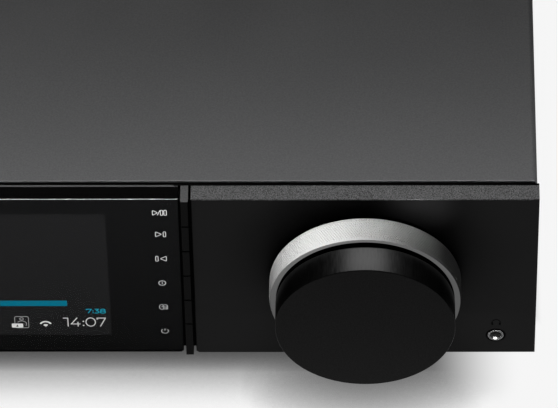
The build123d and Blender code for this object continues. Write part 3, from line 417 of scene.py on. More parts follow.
def knob_alloy(name, colour, roughness, top_specular, side_specular, face_specular):
    """Black anodised turned knob: satin streaks along its axis, fine blasting, a duller flat face and a
    barrel coloured near black as painted shade.
    """
    finish = Finish(name, colour, roughness, specular=top_specular)
    grain = finish.noise(0.45, 3)
    streaks = finish.noise(0.5, 3, stretch=(1, 0.12, 1))
    face = finish.blend(finish.remap(grain, 0.35, 0.65), tint(colour, 0.72), tint(colour, 1.35))
    front = finish.to_front(0.55, 0.95)
    # Painted shade: the barrel takes a twentieth of the face's colour, so its sides stay black.
    finish.set("Base Color", finish.blend(front, tint(colour, 0.05), face))
    finish.set("Roughness", finish.remap(streaks, 0.3, 0.7, roughness - 0.05, roughness + 0.05))
    side = finish.remap(finish.facing("Z"), 0.55, 0.95, side_specular, top_specular)
    shine = finish.remap(front, 0, 1, side, face_specular)
    finish.set("Specular IOR Level", finish.times(shine, finish.remap(streaks, 0.3, 0.7, 0.75, 1.25)))
    finish.bump(grain, 0.008)
    return finish.material


def moulded(name, colour, roughness=0.5, texture_size=0.35, relief=0.01, specular=0.4, wear=0.15):
    """Moulded plastic with a fine spark texture, soft flow marks and paler corners."""
    finish = Finish(name, colour, roughness, specular=specular)
    flow = finish.noise(26, 3, stretch=(1, 0.35, 1))
    base = finish.blend(finish.remap(flow, 0.3, 0.7, 0, 0.5), colour, tint(colour, 1.35, 0.004))
    worn = finish.times(finish.edge(0.3), wear)
    finish.set("Base Color", finish.blend(worn, base, tint(colour, 2.5, 0.02)))
    finish.set("Roughness", finish.remap(flow, 0.3, 0.7, roughness - 0.05, roughness + 0.06))
    finish.bump(finish.noise(texture_size, 2), relief)
    return finish.material


def plated(name, colour, roughness, spangle_size):
    """Plated or zinc-coated metal with a faint spangle and fine scratches."""
    finish = Finish(name, colour, roughness, metallic=1.0)
    scratch = finish.noise(0.5, 3, stretch=(0.08, 1, 1))
    spangle = finish.times(finish.cells(spangle_size), 0.6)
    finish.set("Base Color", finish.blend(spangle, colour, tint(colour, 0.86)))
    finish.set("Roughness", finish.remap(scratch, 0.25, 0.75, roughness - 0.08, roughness + 0.12))
    finish.bump(scratch, 0.004)
    return finish.material


def rubber(name, colour):
    """Matt rubber with dust in its pores."""
    finish = Finish(name, colour, 0.85, specular=0.25)
    dust = finish.remap(finish.noise(1.6, 5), 0.5, 0.8, 0, 0.4)
    finish.set("Base Color", finish.blend(dust, colour, tint(colour, 3, 0.02)))
    finish.bump(finish.noise(0.5, 4), 0.05, 0.6)
    return finish.material


def laminate(name):
    """Green circuit board: resist over copper tracks, with gold pads on a grid."""
    resist = (0.006, 0.045, 0.022)
    track = (0.015, 0.11, 0.05)
    pad = (0.6, 0.42, 0.14)
    finish = Finish(name, resist, 0.3)
    bricks = {"Vector": finish.place, "Scale": 0.11, "Mortar Size": 0.06}
    brick = finish.new("TexBrick", bricks).outputs["Fac"]
    tracks = finish.blend(finish.times(brick, 0.7), resist, track)
    finish.set("Base Color", finish.blend(finish.remap(finish.cells(2.2), 0.93, 0.95), tracks, pad))
    finish.set("Roughness", finish.vary(9, 3, 0.22, 0.4))
    finish.bump(brick, 0.03)
    return finish.material


def lens_glass(name, mirror_strength):
    """Clear lens: refracts, mirrors a little, and lets lamp light through to what is bonded behind it."""
    finish = Finish(name, (1, 1, 1), 0.02)
    refract = finish.new("BsdfRefraction", {"IOR": 1.5, "Roughness": 0.0}).outputs[0]
    smears = finish.remap(finish.noise(34, 5), 0.45, 0.75, 0.02, 0.09)
    mirror = finish.new("BsdfGlossy", {"Roughness": smears}).outputs[0]
    weaker = finish.times(finish.new("Fresnel").outputs[0], mirror_strength)
    seen = finish.new("MixShader", {0: weaker, 1: refract, 2: mirror}).outputs[0]
    path = finish.new("LightPath").outputs
    lamp = finish.math("MAXIMUM", path["Is Shadow Ray"], path["Is Diffuse Ray"])
    clear = finish.new("BsdfTransparent").outputs[0]
    finish.surface(finish.new("MixShader", {0: lamp, 1: seen, 2: clear}))
    return finish.material


def painted_edge_highlight(name):
    """The lens's ground top edge, coloured pale along the top only as a painted highlight; it gives no light
    of its own.
    """
    finish = Finish(name, (0.42, 0.43, 0.43), 0.3)
    finish.set("Base Color", finish.blend(finish.noise(0.8, 3), (0.68, 0.69, 0.69), (0.92, 0.93, 0.93)))
    return finish.material


def deep_black(name):
    """Matt black foam or moulding that gives almost nothing back, with faint dust."""
    black = (0.0008, 0.0008, 0.0008)
    finish = Finish(name, black, 0.7, specular=0.02)
    dust = finish.remap(finish.noise(1.2, 5), 0.62, 0.80, 0, 0.3)
    finish.set("Base Color", finish.blend(dust, black, tint(black, 7.5)))
    finish.bump(finish.noise(0.5, 3), 0.01, 0.4)
    return finish.material


def up_the_front(finish, at_foot, at_top):
    """A value that changes from the foot of the display lens to its top."""
    return finish.remap(finish.axis("Z"), LENS_LOW.z / MM, LENS_HIGH.z / MM, at_foot, at_top)


def lit(name, colour, strength=1.0, unlit=(0.001, 0.001, 0.001), dimmer_below=1.0):
    """A lit mark, a little uneven; dimmer_below is its brightness at the foot of the lens against the top."""
    finish = Finish(name, unlit, 0.4, specular=0.0)
    uneven = finish.vary(1.5, 2, 0.96 * strength, 1.04 * strength)
    finish.glow(finish.times(uneven, up_the_front(finish, dimmer_below, 1.0)), colour)
    return finish.material


def lens_backing(name):
    """The black frame printed round the screen, under a faint painted glow, a painted reflection that grows
    towards the top.
    """
    finish = Finish(name, (0.0010, 0.0010, 0.0010), 0.7, specular=0.02)
    # Painted reflection: a glow on the front faces, stronger towards the top.
    painted_veil = up_the_front(finish, 0.0026, 0.0066)
    seen = finish.to_front(0.8, 0.9)
    finish.glow(finish.times(painted_veil, seen, finish.vary(0.6, 2, 0.95, 1.05)), (0.98, 1.0, 1.03))
    return finish.material


def screen_cell(name, backlight):
    """Dark liquid crystal cell, faintly backlit inside its visible area."""
    finish = Finish(name, (0.001, 0.001, 0.001), 0.35, specular=0.0)
    fade = finish.remap(finish.axis("Z"), SCREEN_BOTTOM / MM, SCREEN_TOP / MM, 0.80, 1.05)
    finish.glow(finish.times(fade, finish.vary(0.3, 2, 0.9, 1.1), backlight), (1.0, 1.0, 1.03))
    return finish.material


def printed(name, colour):
    """Screen-printed ink with a slightly uneven film."""
    finish = Finish(name, colour, 0.5, specular=0.2)
    finish.set("Base Color", finish.blend(finish.noise(0.6, 3), tint(colour, 0.85), colour))
    return finish.material


def phono_plate(name):
    """Gold barrels outside the rear panel, black housings inside it."""
    housing = (0.02, 0.02, 0.02)
    finish = Finish(name, housing, 0.3)
    outside = finish.math("GREATER_THAN", finish.axis("Y"), REAR_Y / MM + 0.01)
    finish.set("Base Color", finish.blend(outside, housing, (0.85, 0.60, 0.24)))
    finish.set("Metallic", outside)
    finish.set("Roughness", finish.vary(0.5, 3, 0.16, 0.34, stretch=(1, 0.1, 1)))
    finish.bump(finish.noise(0.4, 2), 0.004, 0.4)
    return finish.material


def capacitor_sleeve(name):
    """Dark shrink sleeve with a bare aluminium top."""
    sleeve = (0.012, 0.014, 0.03)
    finish = Finish(name, sleeve, 0.3)
    top = finish.remap(finish.facing("Z"), 0.85, 0.95)
    finish.set("Base Color", finish.blend(top, sleeve, (0.62, 0.62, 0.62)))
    finish.set("Metallic", top)
    finish.set("Roughness", finish.vary(3, 3, 0.25, 0.4))
    finish.bump(finish.noise(0.8, 3), 0.02, 0.4)
    return finish.material


def wound(name):
    """Ferrite core round a taped winding."""
    ferrite = (0.02, 0.02, 0.022)
    finish = Finish(name, ferrite, 0.6)
    tape = finish.remap(finish.noise(14, 1), 0.5, 0.52)
    finish.set("Base Color", finish.blend(tape, ferrite, (0.30, 0.19, 0.02)))
    finish.bump(finish.noise(0.6, 4), 0.05, 0.6)
    return finish.material


def wire_sleeve(name):
    """Insulated leads: red and black by where they run."""
    black = (0.02, 0.02, 0.02)
    finish = Finish(name, black, 0.4)
    place_in_pair = finish.math("FRACT", finish.math("DIVIDE", finish.axis("X"), 20))
    odd = finish.math("GREATER_THAN", place_in_pair, 0.5)
    finish.set("Base Color", finish.blend(odd, black, (0.35, 0.015, 0.01)))
    finish.bump(finish.noise(0.5, 2), 0.01, 0.4)
    return finish.material


def grey(level):
    return (level, level, level)


COVER_PAINT = textured_paint("cover_paint", (0.085, 0.085, 0.087), 0.55, 0.14, 0.55, 0.3, 0.2, COVER_LOW.y)
REAR_PAINT = textured_paint("rear_paint", (0.020, 0.020, 0.021), 0.5, 0.25, 0.55)
OXIDE = moulded("black_oxide", (0.016, 0.016, 0.017), 0.35, specular=0.6, wear=0.5)
SATIN_BLACK = (0.0100, 0.0100, 0.0101)
# For the fascia and the keys, the second colour is the painted lit top.
FASCIA_BLACK = blasted_alloy("fascia_alloy", SATIN_BLACK, (0.060, 0.060, 0.061), 0.34, 0.95, 0.42, 0.03)
KEY_BLACK = blasted_alloy("key_plastic", grey(0.0042), (0.055, 0.055, 0.056), 0.5, 0.35, 0.45, 0.02)
KNOB_BLACK = knob_alloy(
    "knob_alloy", grey(0.0105), 0.38, top_specular=1.0, side_specular=0.1, face_specular=0.02
)
RING_SILVER = ring_alloy("ring_alloy", (0.86, 0.86, 0.85), grey(0.12), 0.45, 0.105)
BLACK = deep_black("black_moulding")
SOCKET = moulded("socket_plastic", (0.013, 0.013, 0.014), 0.42)
FEET = moulded("feet_plastic", grey(0.014), 0.5, texture_size=0.8, relief=0.03)
ZINC = plated("zinc_sheet", (0.52, 0.53, 0.55), 0.38, 9.0)
TIN = plated("tin_plate", (0.66, 0.66, 0.67), 0.28, 3.0)
GOLD = plated("gold_plate", (0.86, 0.61, 0.25), 0.2, 1.5)
BRASS = plated("brass", (0.58, 0.46, 0.24), 0.3, 1.5)
SINK = plated("extruded_alloy", (0.42, 0.42, 0.44), 0.4, 4.0)
SUBFRAME = moulded("subframe_alloy", (0.055, 0.055, 0.056), 0.45, specular=0.3)
BOARD = laminate("board_laminate")
CHIP = moulded("chip_epoxy", (0.018, 0.018, 0.02), 0.55)
RED = moulded("red_moulding", (0.36, 0.008, 0.010), 0.25, specular=0.5)
GLOSS_BLACK = moulded("black_cap", (0.012, 0.012, 0.013), 0.25, specular=0.5)
WHITE = moulded("white_insulator", (0.70, 0.70, 0.68), 0.35)
FILM = moulded("ribbon_film", (0.62, 0.62, 0.58), 0.35)
BEZEL = moulded("bezel_alloy", (0.19, 0.19, 0.192), 0.4, texture_size=0.25, relief=0.004, specular=0.05)
# A painted glint: white that glows though it is no lamp.
PAINTED_GLINT = lit("painted_contact_glint", grey(1.0), 0.95, unlit=grey(0.6))
# The key symbols are white print with a painted glow, dimmer at the foot of the lens.
KEY_SYMBOL_GLOW = lit("key_symbol_glow", grey(1.0), dimmer_below=0.5)
REAR_INK = printed("rear_ink", grey(0.50))
TEXT_GREY = lit("screen_grey", grey(0.30))
TEXT_WHITE = lit("screen_white", (0.62, 0.62, 0.61))
BAR_BLUE = lit("screen_blue", (0.001, 0.128, 0.200))
TIME_BLUE = lit("screen_cyan", (0.008, 0.30, 0.42))

CAD_FINISHES = (
    (COVER_PAINT, "top_cover"),
    (REAR_PAINT, "rear_panel"),
    (ZINC, "base_pan"),
    (OXIDE, "case_screws"),
    (SUBFRAME, "front_subframe"),
    (FASCIA_BLACK, "fascia"),
    (KEY_BLACK, "key_play_pause key_next key_previous key_info key_output key_standby"),
    (rubber("pad_rubber", grey(0.012)), "foot_pads"),
    (lens_backing("lens_backing"), "lens_carrier"),
    (screen_cell("screen_cell", 0.0115), "lcd_cell"),
    (BLACK, "key_guide selector_hub"),
    (CHIP, "key_switches main_board_chips"),
    (BOARD, "key_board control_board main_board power_board amplifier_modules"),
    (BRASS, "volume_shaft selector_shaft encoder_nut standoffs"),
    (TIN, "foot_screws lcd_tray dual_encoder network_module board_screws network_socket usb_socket"),
    (SOCKET, "headphone_socket mains_inlet switch_frame terminal_bases optical_socket optical_shutter"),
    (SINK, "power_heatsink heat_spreader"),
    (wound("wound_core"), "power_transformer"),
    (capacitor_sleeve("capacitor_sleeve"), "capacitors"),
    (GLOSS_BLACK, "mains_rocker"),
    (GOLD, "terminal_studs"),
    (phono_plate("phono_plate"), "phono_sockets"),
    (wire_sleeve("wire_sleeve"), "wiring_harness"),
    (FILM, "display_ribbon"),
)
for material, nodes in CAD_FINISHES:
    for node in nodes.split():
        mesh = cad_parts[node].data
        mesh.materials.clear()
        mesh.materials.append(material)


# ---- rotary control ----
def make_knob():
    """The black knob: a flat cap with crisp, just broken edges and a narrower neck behind it."""
    low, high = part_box("volume_knob")
    radius = (high.x - low.x) / 2
    neck = radius - 2.85 * MM
    cap_back = low.y + 9.9 * MM
    centre = 0.4 * MM
    corners = [(centre, high.y), (neck, high.y), (neck, cap_back)]
    corners += [(radius, cap_back), (radius, low.y), (centre, low.y)]
    outline = corners[:1]
    for i in range(1, len(corners) - 1):
        outline += rounded(corners[i - 1:i + 2], 0.3 * MM)[5:10]  # the middle corner's arc
    outline.append(corners[-1])
    bm = bmesh.new()
    turn(bm, outline, KNOB, 256, solid=True)
    add_piece("knob_cap", bm, KNOB_BLACK, "volume", stands_for="volume_knob")


KNURL_TEETH = 240
KNURL_DEPTH = 0.36 * MM
KNURL_SLANT = 1.7  # each diamond's length along the axis over its width around the rim


def make_selector_ring():
    """The silver ring, its rim cut in diamonds: every other vertex of a fine grid stands proud."""
    low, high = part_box("selector_ring")
    outer = (high.x - low.x) / 2 - KNURL_DEPTH
    inner = outer - 2.05 * MM
    margin = 0.22 * MM
    pitch = KNURL_SLANT * math.pi * outer / KNURL_TEETH
    rows = int((high.y - low.y - 2 * margin) / pitch) // 2 * 2 + 1
    first = (low.y + high.y) / 2 - pitch * (rows - 1) / 2
    knurl = [(outer, first + pitch * j) for j in range(rows)]
    rim_front = [(outer - 0.14 * MM, low.y), (outer - 0.03 * MM, low.y + 0.04 * MM)]
    rim_front.append((outer, low.y + 0.14 * MM))
    rim_back = [(outer, high.y - 0.3 * MM), (outer - 0.3 * MM, high.y), (inner, high.y)]
    bore = [(inner, low.y + 0.9 * MM), (inner + 0.15 * MM, low.y + 0.5 * MM)]
    start = len(rim_front)

    def tooth(i, j):
        cut = start < j < start + rows - 1
        return KNURL_DEPTH if cut and (i + j) % 2 else 0

    bm = bmesh.new()
    turn(bm, rim_front + knurl + rim_back + bore, KNOB, 2 * KNURL_TEETH, tooth)
    split_knurl(bm, outer + KNURL_DEPTH / 2)
    add_piece("knurled_ring", bm, RING_SILVER, "selector", 18, stands_for="selector_ring")


def split_knurl(bm, limit):
    """Splits each knurl square between its two low corners, so that each tooth is a clean pyramid."""
    for face in list(bm.faces):
        low = [v for v in face.verts if math.hypot(v.co.x - KNOB.x, v.co.z - KNOB.z) <= limit]
        if len(low) == 2 and len(face.verts) == 4:
            bmesh.utils.face_split(face, low[0], low[1])


make_knob()
make_selector_ring()


# ---- joints between the front pieces ----
def make_front_gap_shade():
    """Black strips as painted shade: one fills the gap between the front plates and the cover, and a thin lip
    lies over the plates' top edge.
    """
    inset = 0.6 * MM
    outline = rectangle(
        COVER_LOW.x + inset, COVER_HIGH.z - 1.9 * MM, COVER_HIGH.x - inset, COVER_HIGH.z - 0.55 * MM, 0.2 * MM
    )
    bm = bmesh.new()
    slab(bm, outline, FASCIA_HIGH.y + 0.03 * MM, COVER_LOW.y - 0.01 * MM)
    add_piece("front_gasket", bm, BLACK)

    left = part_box("key_guide")[0].x + 2.6 * MM
    bottom = FASCIA_HIGH.z + 0.01 * MM
    bm = bmesh.new()
    outline = rectangle(left, bottom, FASCIA_HIGH.x, bottom + 0.08 * MM)
    slab(bm, outline, FASCIA_HIGH.y - 0.42 * MM, FASCIA_HIGH.y + 0.3 * MM)
    add_piece("front_gasket_lip", bm, BLACK)


def make_key_gap_shade():
    """Two narrow black strips, as painted shade, that close the slots on either side of the keys, set back
    from the front.
    """
    key_x = middle("key_play_pause").x
    half_key = 1.25 * MM
    clear = 0.03 * MM
    bottom, top = 12.2 * MM, FASCIA_HIGH.z - 2.0 * MM
    near = FASCIA_LOW.y + 1.6 * MM
    bm = bmesh.new()
    slab(bm, rectangle(LENS_HIGH.x + clear, bottom, key_x - half_key - clear, top), near, near + 0.6 * MM)
    slab(bm, rectangle(key_x + half_key + clear, bottom, FASCIA_LOW.x - clear, top), near, near + 0.6 * MM)
    add_piece("key_gap_seals", bm, BLACK)


make_front_gap_shade()
make_key_gap_shade()


# ---- headphone socket ----
def add_ball(bm, centre, radii, subdivisions=2):
    """An ellipsoid with its own radius in millimetres along each axis."""
    ball = bmesh.ops.create_icosphere(bm, subdivisions=subdivisions, radius=MM)["verts"]
    bmesh.ops.scale(bm, verts=ball, vec=Vector(radii))
    bmesh.ops.translate(bm, verts=ball, vec=centre)


def add_tube(bm, centre, inner, outer, back, front, radius, steps=4, segments=96):
    """A tube along the Y axis between two radii and two Y planes, with rounded edges."""
    profile = [(inner, back), (outer, back), (outer, front), (inner, front)]
    turn(bm, rounded(profile, radius, steps), centre, segments)


def make_headphone_socket():
    """The plated sleeve with a rolled lip, a thin black collar round it as painted shade, the contact springs
    inside and a glowing leaf low in the bore as a painted glint.
    """
    low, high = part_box("headphone_bezel")
    place = (low + high) / 2
    outer = (high.x - low.x) / 2
    inner = outer - 0.56 * MM
    bm = bmesh.new()
    add_tube(bm, place, inner, outer, high.y, low.y, 0.08 * MM)
    add_piece("headphone_sleeve", bm, BEZEL, stands_for="headphone_bezel")

    # Painted shade: a thin black ring round the sleeve where the surround falls dark.
    front = FASCIA_LOW.y - 0.04 * MM
    bm = bmesh.new()
    add_tube(bm, place, outer + 0.02 * MM, outer + 0.75 * MM, front + 0.3 * MM, front, 0.05 * MM, 3)
    add_piece("headphone_collar", bm, BLACK)

    bm = bmesh.new()
    reach = inner - 0.25 * MM
    for x, z in arc(place.x, place.z, reach, reach, 40, 280, 2):
        for depth in (4.0, 5.6):
            add_ball(bm, Vector((x, low.y + depth * MM, z)), (0.32, 0.32, 0.32))
    add_piece("headphone_contacts", bm, GOLD)

    bm = bmesh.new()
    # Painted glint: a small glowing leaf low in the bore.
    leaf = Vector((place.x - 0.16 * MM, low.y + 0.25 * MM, place.z - 1.75 * MM))
    add_ball(bm, leaf, (0.70, 0.32, 0.62), 3)
    add_piece("headphone_ground_leaf", bm, PAINTED_GLINT)


def make_headphone_symbol():
    """The faint headphone symbol above the socket: a band and two ear pads."""
    place = middle("headphone_bezel")
    sheet = Sheet(FASCIA_LOW.y - 0.02 * MM, FASCIA_LOW.y + 0.1 * MM, place.x, place.z + 7.0 * MM)
    sheet.line(arc(0, -0.3, 1.35, 1.35, 200, -20, 20), 0.32)
    for x in (-1.25, 1.25):
        sheet.fill(rectangle(x - 0.3, -1.7, x + 0.3, -0.55, 0.2))
    sheet.add("headphone_symbol", BLACK, "socket_plastic")


make_headphone_socket()
make_headphone_symbol()


# ---- display lens and key symbols ----
def make_lens():
    """The polished lens, its front edge rounded; the top of that edge is ground and takes a painted
    highlight.
    """
    cut = 0.8 * MM
    outline = [(LENS_LOW.x, LENS_LOW.z), (LENS_HIGH.x - cut, LENS_LOW.z), (LENS_HIGH.x, LENS_LOW.z + cut)]
    outline += [(LENS_HIGH.x, LENS_HIGH.z), (LENS_LOW.x, LENS_HIGH.z)]
    bm = bmesh.new()
    slab(bm, outline, LENS_LOW.y, LENS_HIGH.y, 0.16 * MM, 4)
    glass = lens_glass("lens_glass", mirror_strength=0.03)
    lens = add_piece("lens_glass", bm, glass, corner=80, stands_for="display_lens")
    for other in (painted_edge_highlight("lens_painted_edge_highlight"), BLACK):
        lens.data.materials.append(other)
    for face in lens.data.polygons:
        # Painted highlight: faces along the top that look up and forward take the pale edge.
        along_top = face.center.z > LENS_HIGH.z - 0.3 * MM
        if along_top and face.normal.z > 0.1 and face.normal.y < -0.1:
            face.material_index = 1
        elif abs(face.normal.y) < 0.1:
            face.material_index = 2


SYMBOL_LINE = 0.19
SYMBOL_HALF = 1.25  # half the height of the tall symbols


def play_triangle(x, width):
    """A triangle outline whose point is at x + width; a negative width points left."""
    return rounded([(x, -SYMBOL_HALF), (x + width, 0), (x, SYMBOL_HALF)], 0.2, 3)


def bar(x):
    """A narrow outline of a bar centred on x."""
    return rectangle(x - 0.40, -SYMBOL_HALF, x + 0.40, SYMBOL_HALF, 0.35)


def make_key_symbols():
    """White symbols on the back of the lens, one beside each key, all a stroke's width thick, with a painted
    glow that is dimmer towards the foot of the lens.
    """
    sheet = Sheet(LENS_HIGH.y - 0.05 * MM, LENS_HIGH.y - 0.01 * MM)

    def beside(node, from_right, above):
        sheet.move(LENS_HIGH.x - from_right * MM, middle(node).z + above * MM)

    beside("key_play_pause", 8.45, -1.90)
    sheet.line(play_triangle(0, 1.65), SYMBOL_LINE, closed=True)
    sheet.line([(1.55, -SYMBOL_HALF), (2.5, SYMBOL_HALF)], SYMBOL_LINE)
    sheet.line(bar(2.98), SYMBOL_LINE, closed=True)
    sheet.line(bar(4.12), SYMBOL_LINE, closed=True)

    beside("key_next", 7.78, -0.15)
    sheet.line(play_triangle(0, 2.00), SYMBOL_LINE, closed=True)
    sheet.line(bar(2.92), SYMBOL_LINE, closed=True)

    beside("key_previous", 7.67, -0.06)
    sheet.line(bar(0), SYMBOL_LINE, closed=True)
    sheet.line(play_triangle(3.08, -2.00), SYMBOL_LINE, closed=True)

    beside("key_info", 6.29, -0.03)
    sheet.line(oval(0, 0, 1.14), SYMBOL_LINE, closed=True)
    sheet.line([(0, -0.50), (0, 0.10)], SYMBOL_LINE)
    sheet.fill(oval(0, 0.50, 0.16, steps=12))

    beside("key_output", 6.20, 0.07)
    fine = 0.15
    sheet.line(arc(-0.55, 0, 0.85, SYMBOL_HALF, 60, 300, 18), fine)
    arch = [(-0.10, -SYMBOL_HALF)] + arc(0.60, 0.35, 0.70, 0.75, 180, 0, 10) + [(1.30, -SYMBOL_HALF)]
    sheet.line(arch, fine)
    for x in (0.40, 0.85):
        sheet.line([(x, -SYMBOL_HALF), (x, 0.35)], fine)
    sheet.line([(-0.75, 0), (-0.10, 0.55)], fine)

    beside("key_standby", 6.09, 1.93)
    sheet.line(arc(0, 0, 1.14, 1.14, 130, 410, 28), SYMBOL_LINE)
    sheet.line([(0, 0.25), (0, 1.25)], SYMBOL_LINE)
    sheet.add("key_symbols", KEY_SYMBOL_GLOW, "carrier_plastic")


make_lens()
make_key_symbols()


# ---- what the screen shows ----
PICTURE_NEAR = CELL_LOW.y - 0.10 * MM
PICTURE_FAR = CELL_LOW.y - 0.02 * MM

# Each character's width, its lines and whether they are closed, for a height of 1.
DIGITS = {
    "0": (0.70, [oval(0.35, 0.5, 0.35, 0.48)], True),
    "1": (0.44, [[(0.0, 0.96), (0.36, 0.96), (0.36, 0.0)]], False),
    "3": (0.56, [[(0.03, 0.97), (0.50, 0.97), (0.24, 0.58)] + arc(0.25, 0.29, 0.29, 0.27, 75, -140)], False),
    "4": (0.74, [[(0.48, 1.0), (0.02, 0.28), (0.70, 0.28)], [(0.52, 0.52), (0.52, 0.0)]], False),
    "7": (0.64, [[(0.0, 0.78), (0.0, 0.96), (0.62, 0.96), (0.22, 0.0)]], False),
    "8": (0.66, [oval(0.32, 0.26, 0.32, 0.26), oval(0.32, 0.76, 0.27, 0.22)], True),
    ":": (0.095, [oval(0.045, 0.10, 0.025, 0.03, 10), oval(0.045, 0.58, 0.025, 0.03, 10)], True),
}
DIGIT_GAP = 0.14


def write_time(name, text, material, from_right, above, height, line, spread=1.0):
    """Writes a time against the screen's lower right corner; spread widens the digits."""
    sheet = Sheet(PICTURE_NEAR, PICTURE_FAR, SCREEN_RIGHT, SCREEN_BOTTOM)
    wide = height * spread
    x = -from_right - (sum(DIGITS[c][0] for c in text) + DIGIT_GAP * (len(text) - 1)) * wide
    for character in text:
        advance, paths, closed = DIGITS[character]
        for path in paths:
            sheet.line([(x + px * wide, above + pz * height) for px, pz in path], line, closed)
        x += (advance + DIGIT_GAP) * wide
    sheet.add(name, material, "screen_glass")


def make_progress_bar():
    """The played part of the progress bar."""
    sheet = Sheet(PICTURE_NEAR, PICTURE_FAR, SCREEN_RIGHT, SCREEN_BOTTOM + 15.1 * MM)
    sheet.fill(rectangle((SCREEN_LEFT - SCREEN_RIGHT) / MM + 4, 0, -14.20, 2.70))
    sheet.add("progress_played", BAR_BLUE, "screen_glass")


def make_wireless_symbol():
    """A wedge under one thick arc."""
    sheet = Sheet(PICTURE_NEAR, PICTURE_FAR, SCREEN_RIGHT - 21.73 * MM, SCREEN_BOTTOM + 4.25 * MM)
    sheet.line(arc(0, 0, 2.1, 2.7, 145, 35), 0.56)
    sheet.fill([(0, 0.1)] + arc(0, 0, 1.0, 1.40, 40, 140, 8))
    sheet.add("wireless_symbol", TEXT_WHITE, "screen_glass")


def make_speaker_symbol():
    """A loudspeaker in outline, with a plain lit tab over its lower left corner."""
    corner = (SCREEN_RIGHT - 31.9 * MM, SCREEN_BOTTOM + 3.75 * MM)
    width, height, line = 4.55, 5.85, 0.20
    middle_x = width * 0.50
    speaker = Sheet(PICTURE_NEAR, PICTURE_FAR, *corner)
    speaker.line(rectangle(0, 0, width, height, 0.7), line, closed=True)
    speaker.line(oval(middle_x, height * 0.79, 0.60, steps=20), line, closed=True)
    speaker.line(arc(middle_x, height * 0.34, 1.55, 1.60, -35, 150, 20), line)
    speaker.add("speaker_symbol", TEXT_GREY, "screen_glass")
    tab = Sheet(PICTURE_NEAR - 0.05 * MM, PICTURE_FAR, *corner)
    tab.fill(rectangle(-1.1, 0.2, 2.65, 2.15, 0.35))
    tab.add("speaker_tab", TEXT_WHITE, "screen_glass")
    mark = Sheet(PICTURE_NEAR - 0.08 * MM, PICTURE_NEAR - 0.04 * MM, *corner)
    mark.fill([(0.35, 0.7), (1.15, 0.7), (0.75, 1.8)])
    mark.add("speaker_tab_mark", BLACK, "screen_glass")


def make_cover_picture():
    """A generic picture at the left of the screen: layered hills under a disc."""
    size = SCREEN_TALL - 22
    corner = (SCREEN_LEFT + 4 * MM, SCREEN_TOP - (3 + size) * MM)
    sky = Sheet(PICTURE_NEAR + 0.04 * MM, PICTURE_FAR, *corner)
    sky.fill(rectangle(0, 0, size, size))
    sky.add("picture_sky", lit("picture_sky", (0.10, 0.16, 0.24), 0.5), "screen_glass")
    disc = Sheet(PICTURE_NEAR, PICTURE_FAR, *corner)
    disc.fill(oval(size * 0.68, size * 0.66, size * 0.13, steps=40))
    disc.add("picture_disc", lit("picture_disc", (0.75, 0.42, 0.16), 0.6), "screen_glass")
    steps = 48
    for layer, (level, shade) in enumerate(((0.46, 0.075), (0.32, 0.045), (0.18, 0.022))):
        ridge = []
        for i in range(steps + 1):
            t = i / steps
            wave = math.sin(t * (5 + 2 * layer) + layer * 1.7) * 0.06 + math.sin(t * 13 + layer) * 0.018
            ridge.append((size * t, size * (level + wave)))
        near = PICTURE_NEAR - 0.02 * (layer + 1) * MM
        hills = Sheet(near, near + 0.015 * MM, *corner)
        hills.fill([(size, 0), (0, 0)] + ridge)
        name = f"picture_hills_{layer}"
        hills.add(name, lit(name, (shade * 0.6, shade, shade * 1.3)), "screen_glass")


def make_title_bars():
    """Plain rounded bars where a title and two lines of details would be."""
    left = SCREEN_LEFT + (SCREEN_TALL - 8) * MM
    bars = ((46, 3.6, 8, 0.22), (34, 2.4, 16, 0.10), (26, 2.4, 22, 0.10))
    for i, (length, height, drop, level) in enumerate(bars):
        sheet = Sheet(PICTURE_NEAR, PICTURE_FAR, left, SCREEN_TOP - drop * MM)
        sheet.fill(rectangle(0, -height, length, 0, height * 0.49))
        sheet.add(f"title_bar_{i}", lit(f"title_bar_{i}", grey(0.9), level), "screen_glass")


make_progress_bar()
write_time("elapsed_time", "7:38", TIME_BLUE, 1.60, above=11.35, height=2.1, line=0.24, spread=1.28)
write_time("clock_time", "14:07", TEXT_WHITE, 1.70, above=4.48, height=4.47, line=0.28)
make_wireless_symbol()
make_speaker_symbol()
make_cover_picture()
make_title_bars()


# ---- feet ----
def make_feet():
    """Four feet, each with a stepped waist round a disc, turned round the Y axis and stood on end."""
    low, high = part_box("feet")
    radius = 20.0 * MM
    bore = 17.0 * MM
    neck = radius - 0.8 * MM
    waist = low.z + 5.2 * MM
    side = [(bore, low.z), (radius - 1.2 * MM, low.z), (radius, low.z + 1.6 * MM), (radius, waist)]
    side += [(neck, waist + 0.5 * MM), (neck, waist + 1.3 * MM), (radius, waist + 1.8 * MM)]
    side += [(radius, high.z), (bore, high.z)]
    profile = rounded(side, 0.35 * MM, 3)
    bm = bmesh.new()
    for x in (low.x + radius, high.x - radius):
        for y in (low.y + radius, high.y - radius):
            for row in turn(bm, profile, Vector()):
                for v in row:
                    v.co = Vector((v.co.x + x, v.co.z + y, v.co.y))
            rings = []
            for z in (low.z + 1.1 * MM, high.z - 1.0 * MM):
                disc = oval(x, y, bore + 0.2 * MM, steps=48)
                rings.append([bm.verts.new((px, py, z)) for px, py in disc])
                bm.faces.new(rings[-1])
            join(bm, *rings)
    add_piece("turned_feet", bm, FEET, stands_for="feet")


make_feet()


# ---- rear sockets ----
CAP_NODES = [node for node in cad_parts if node.startswith("terminal_cap_")]
FLUTES = 12


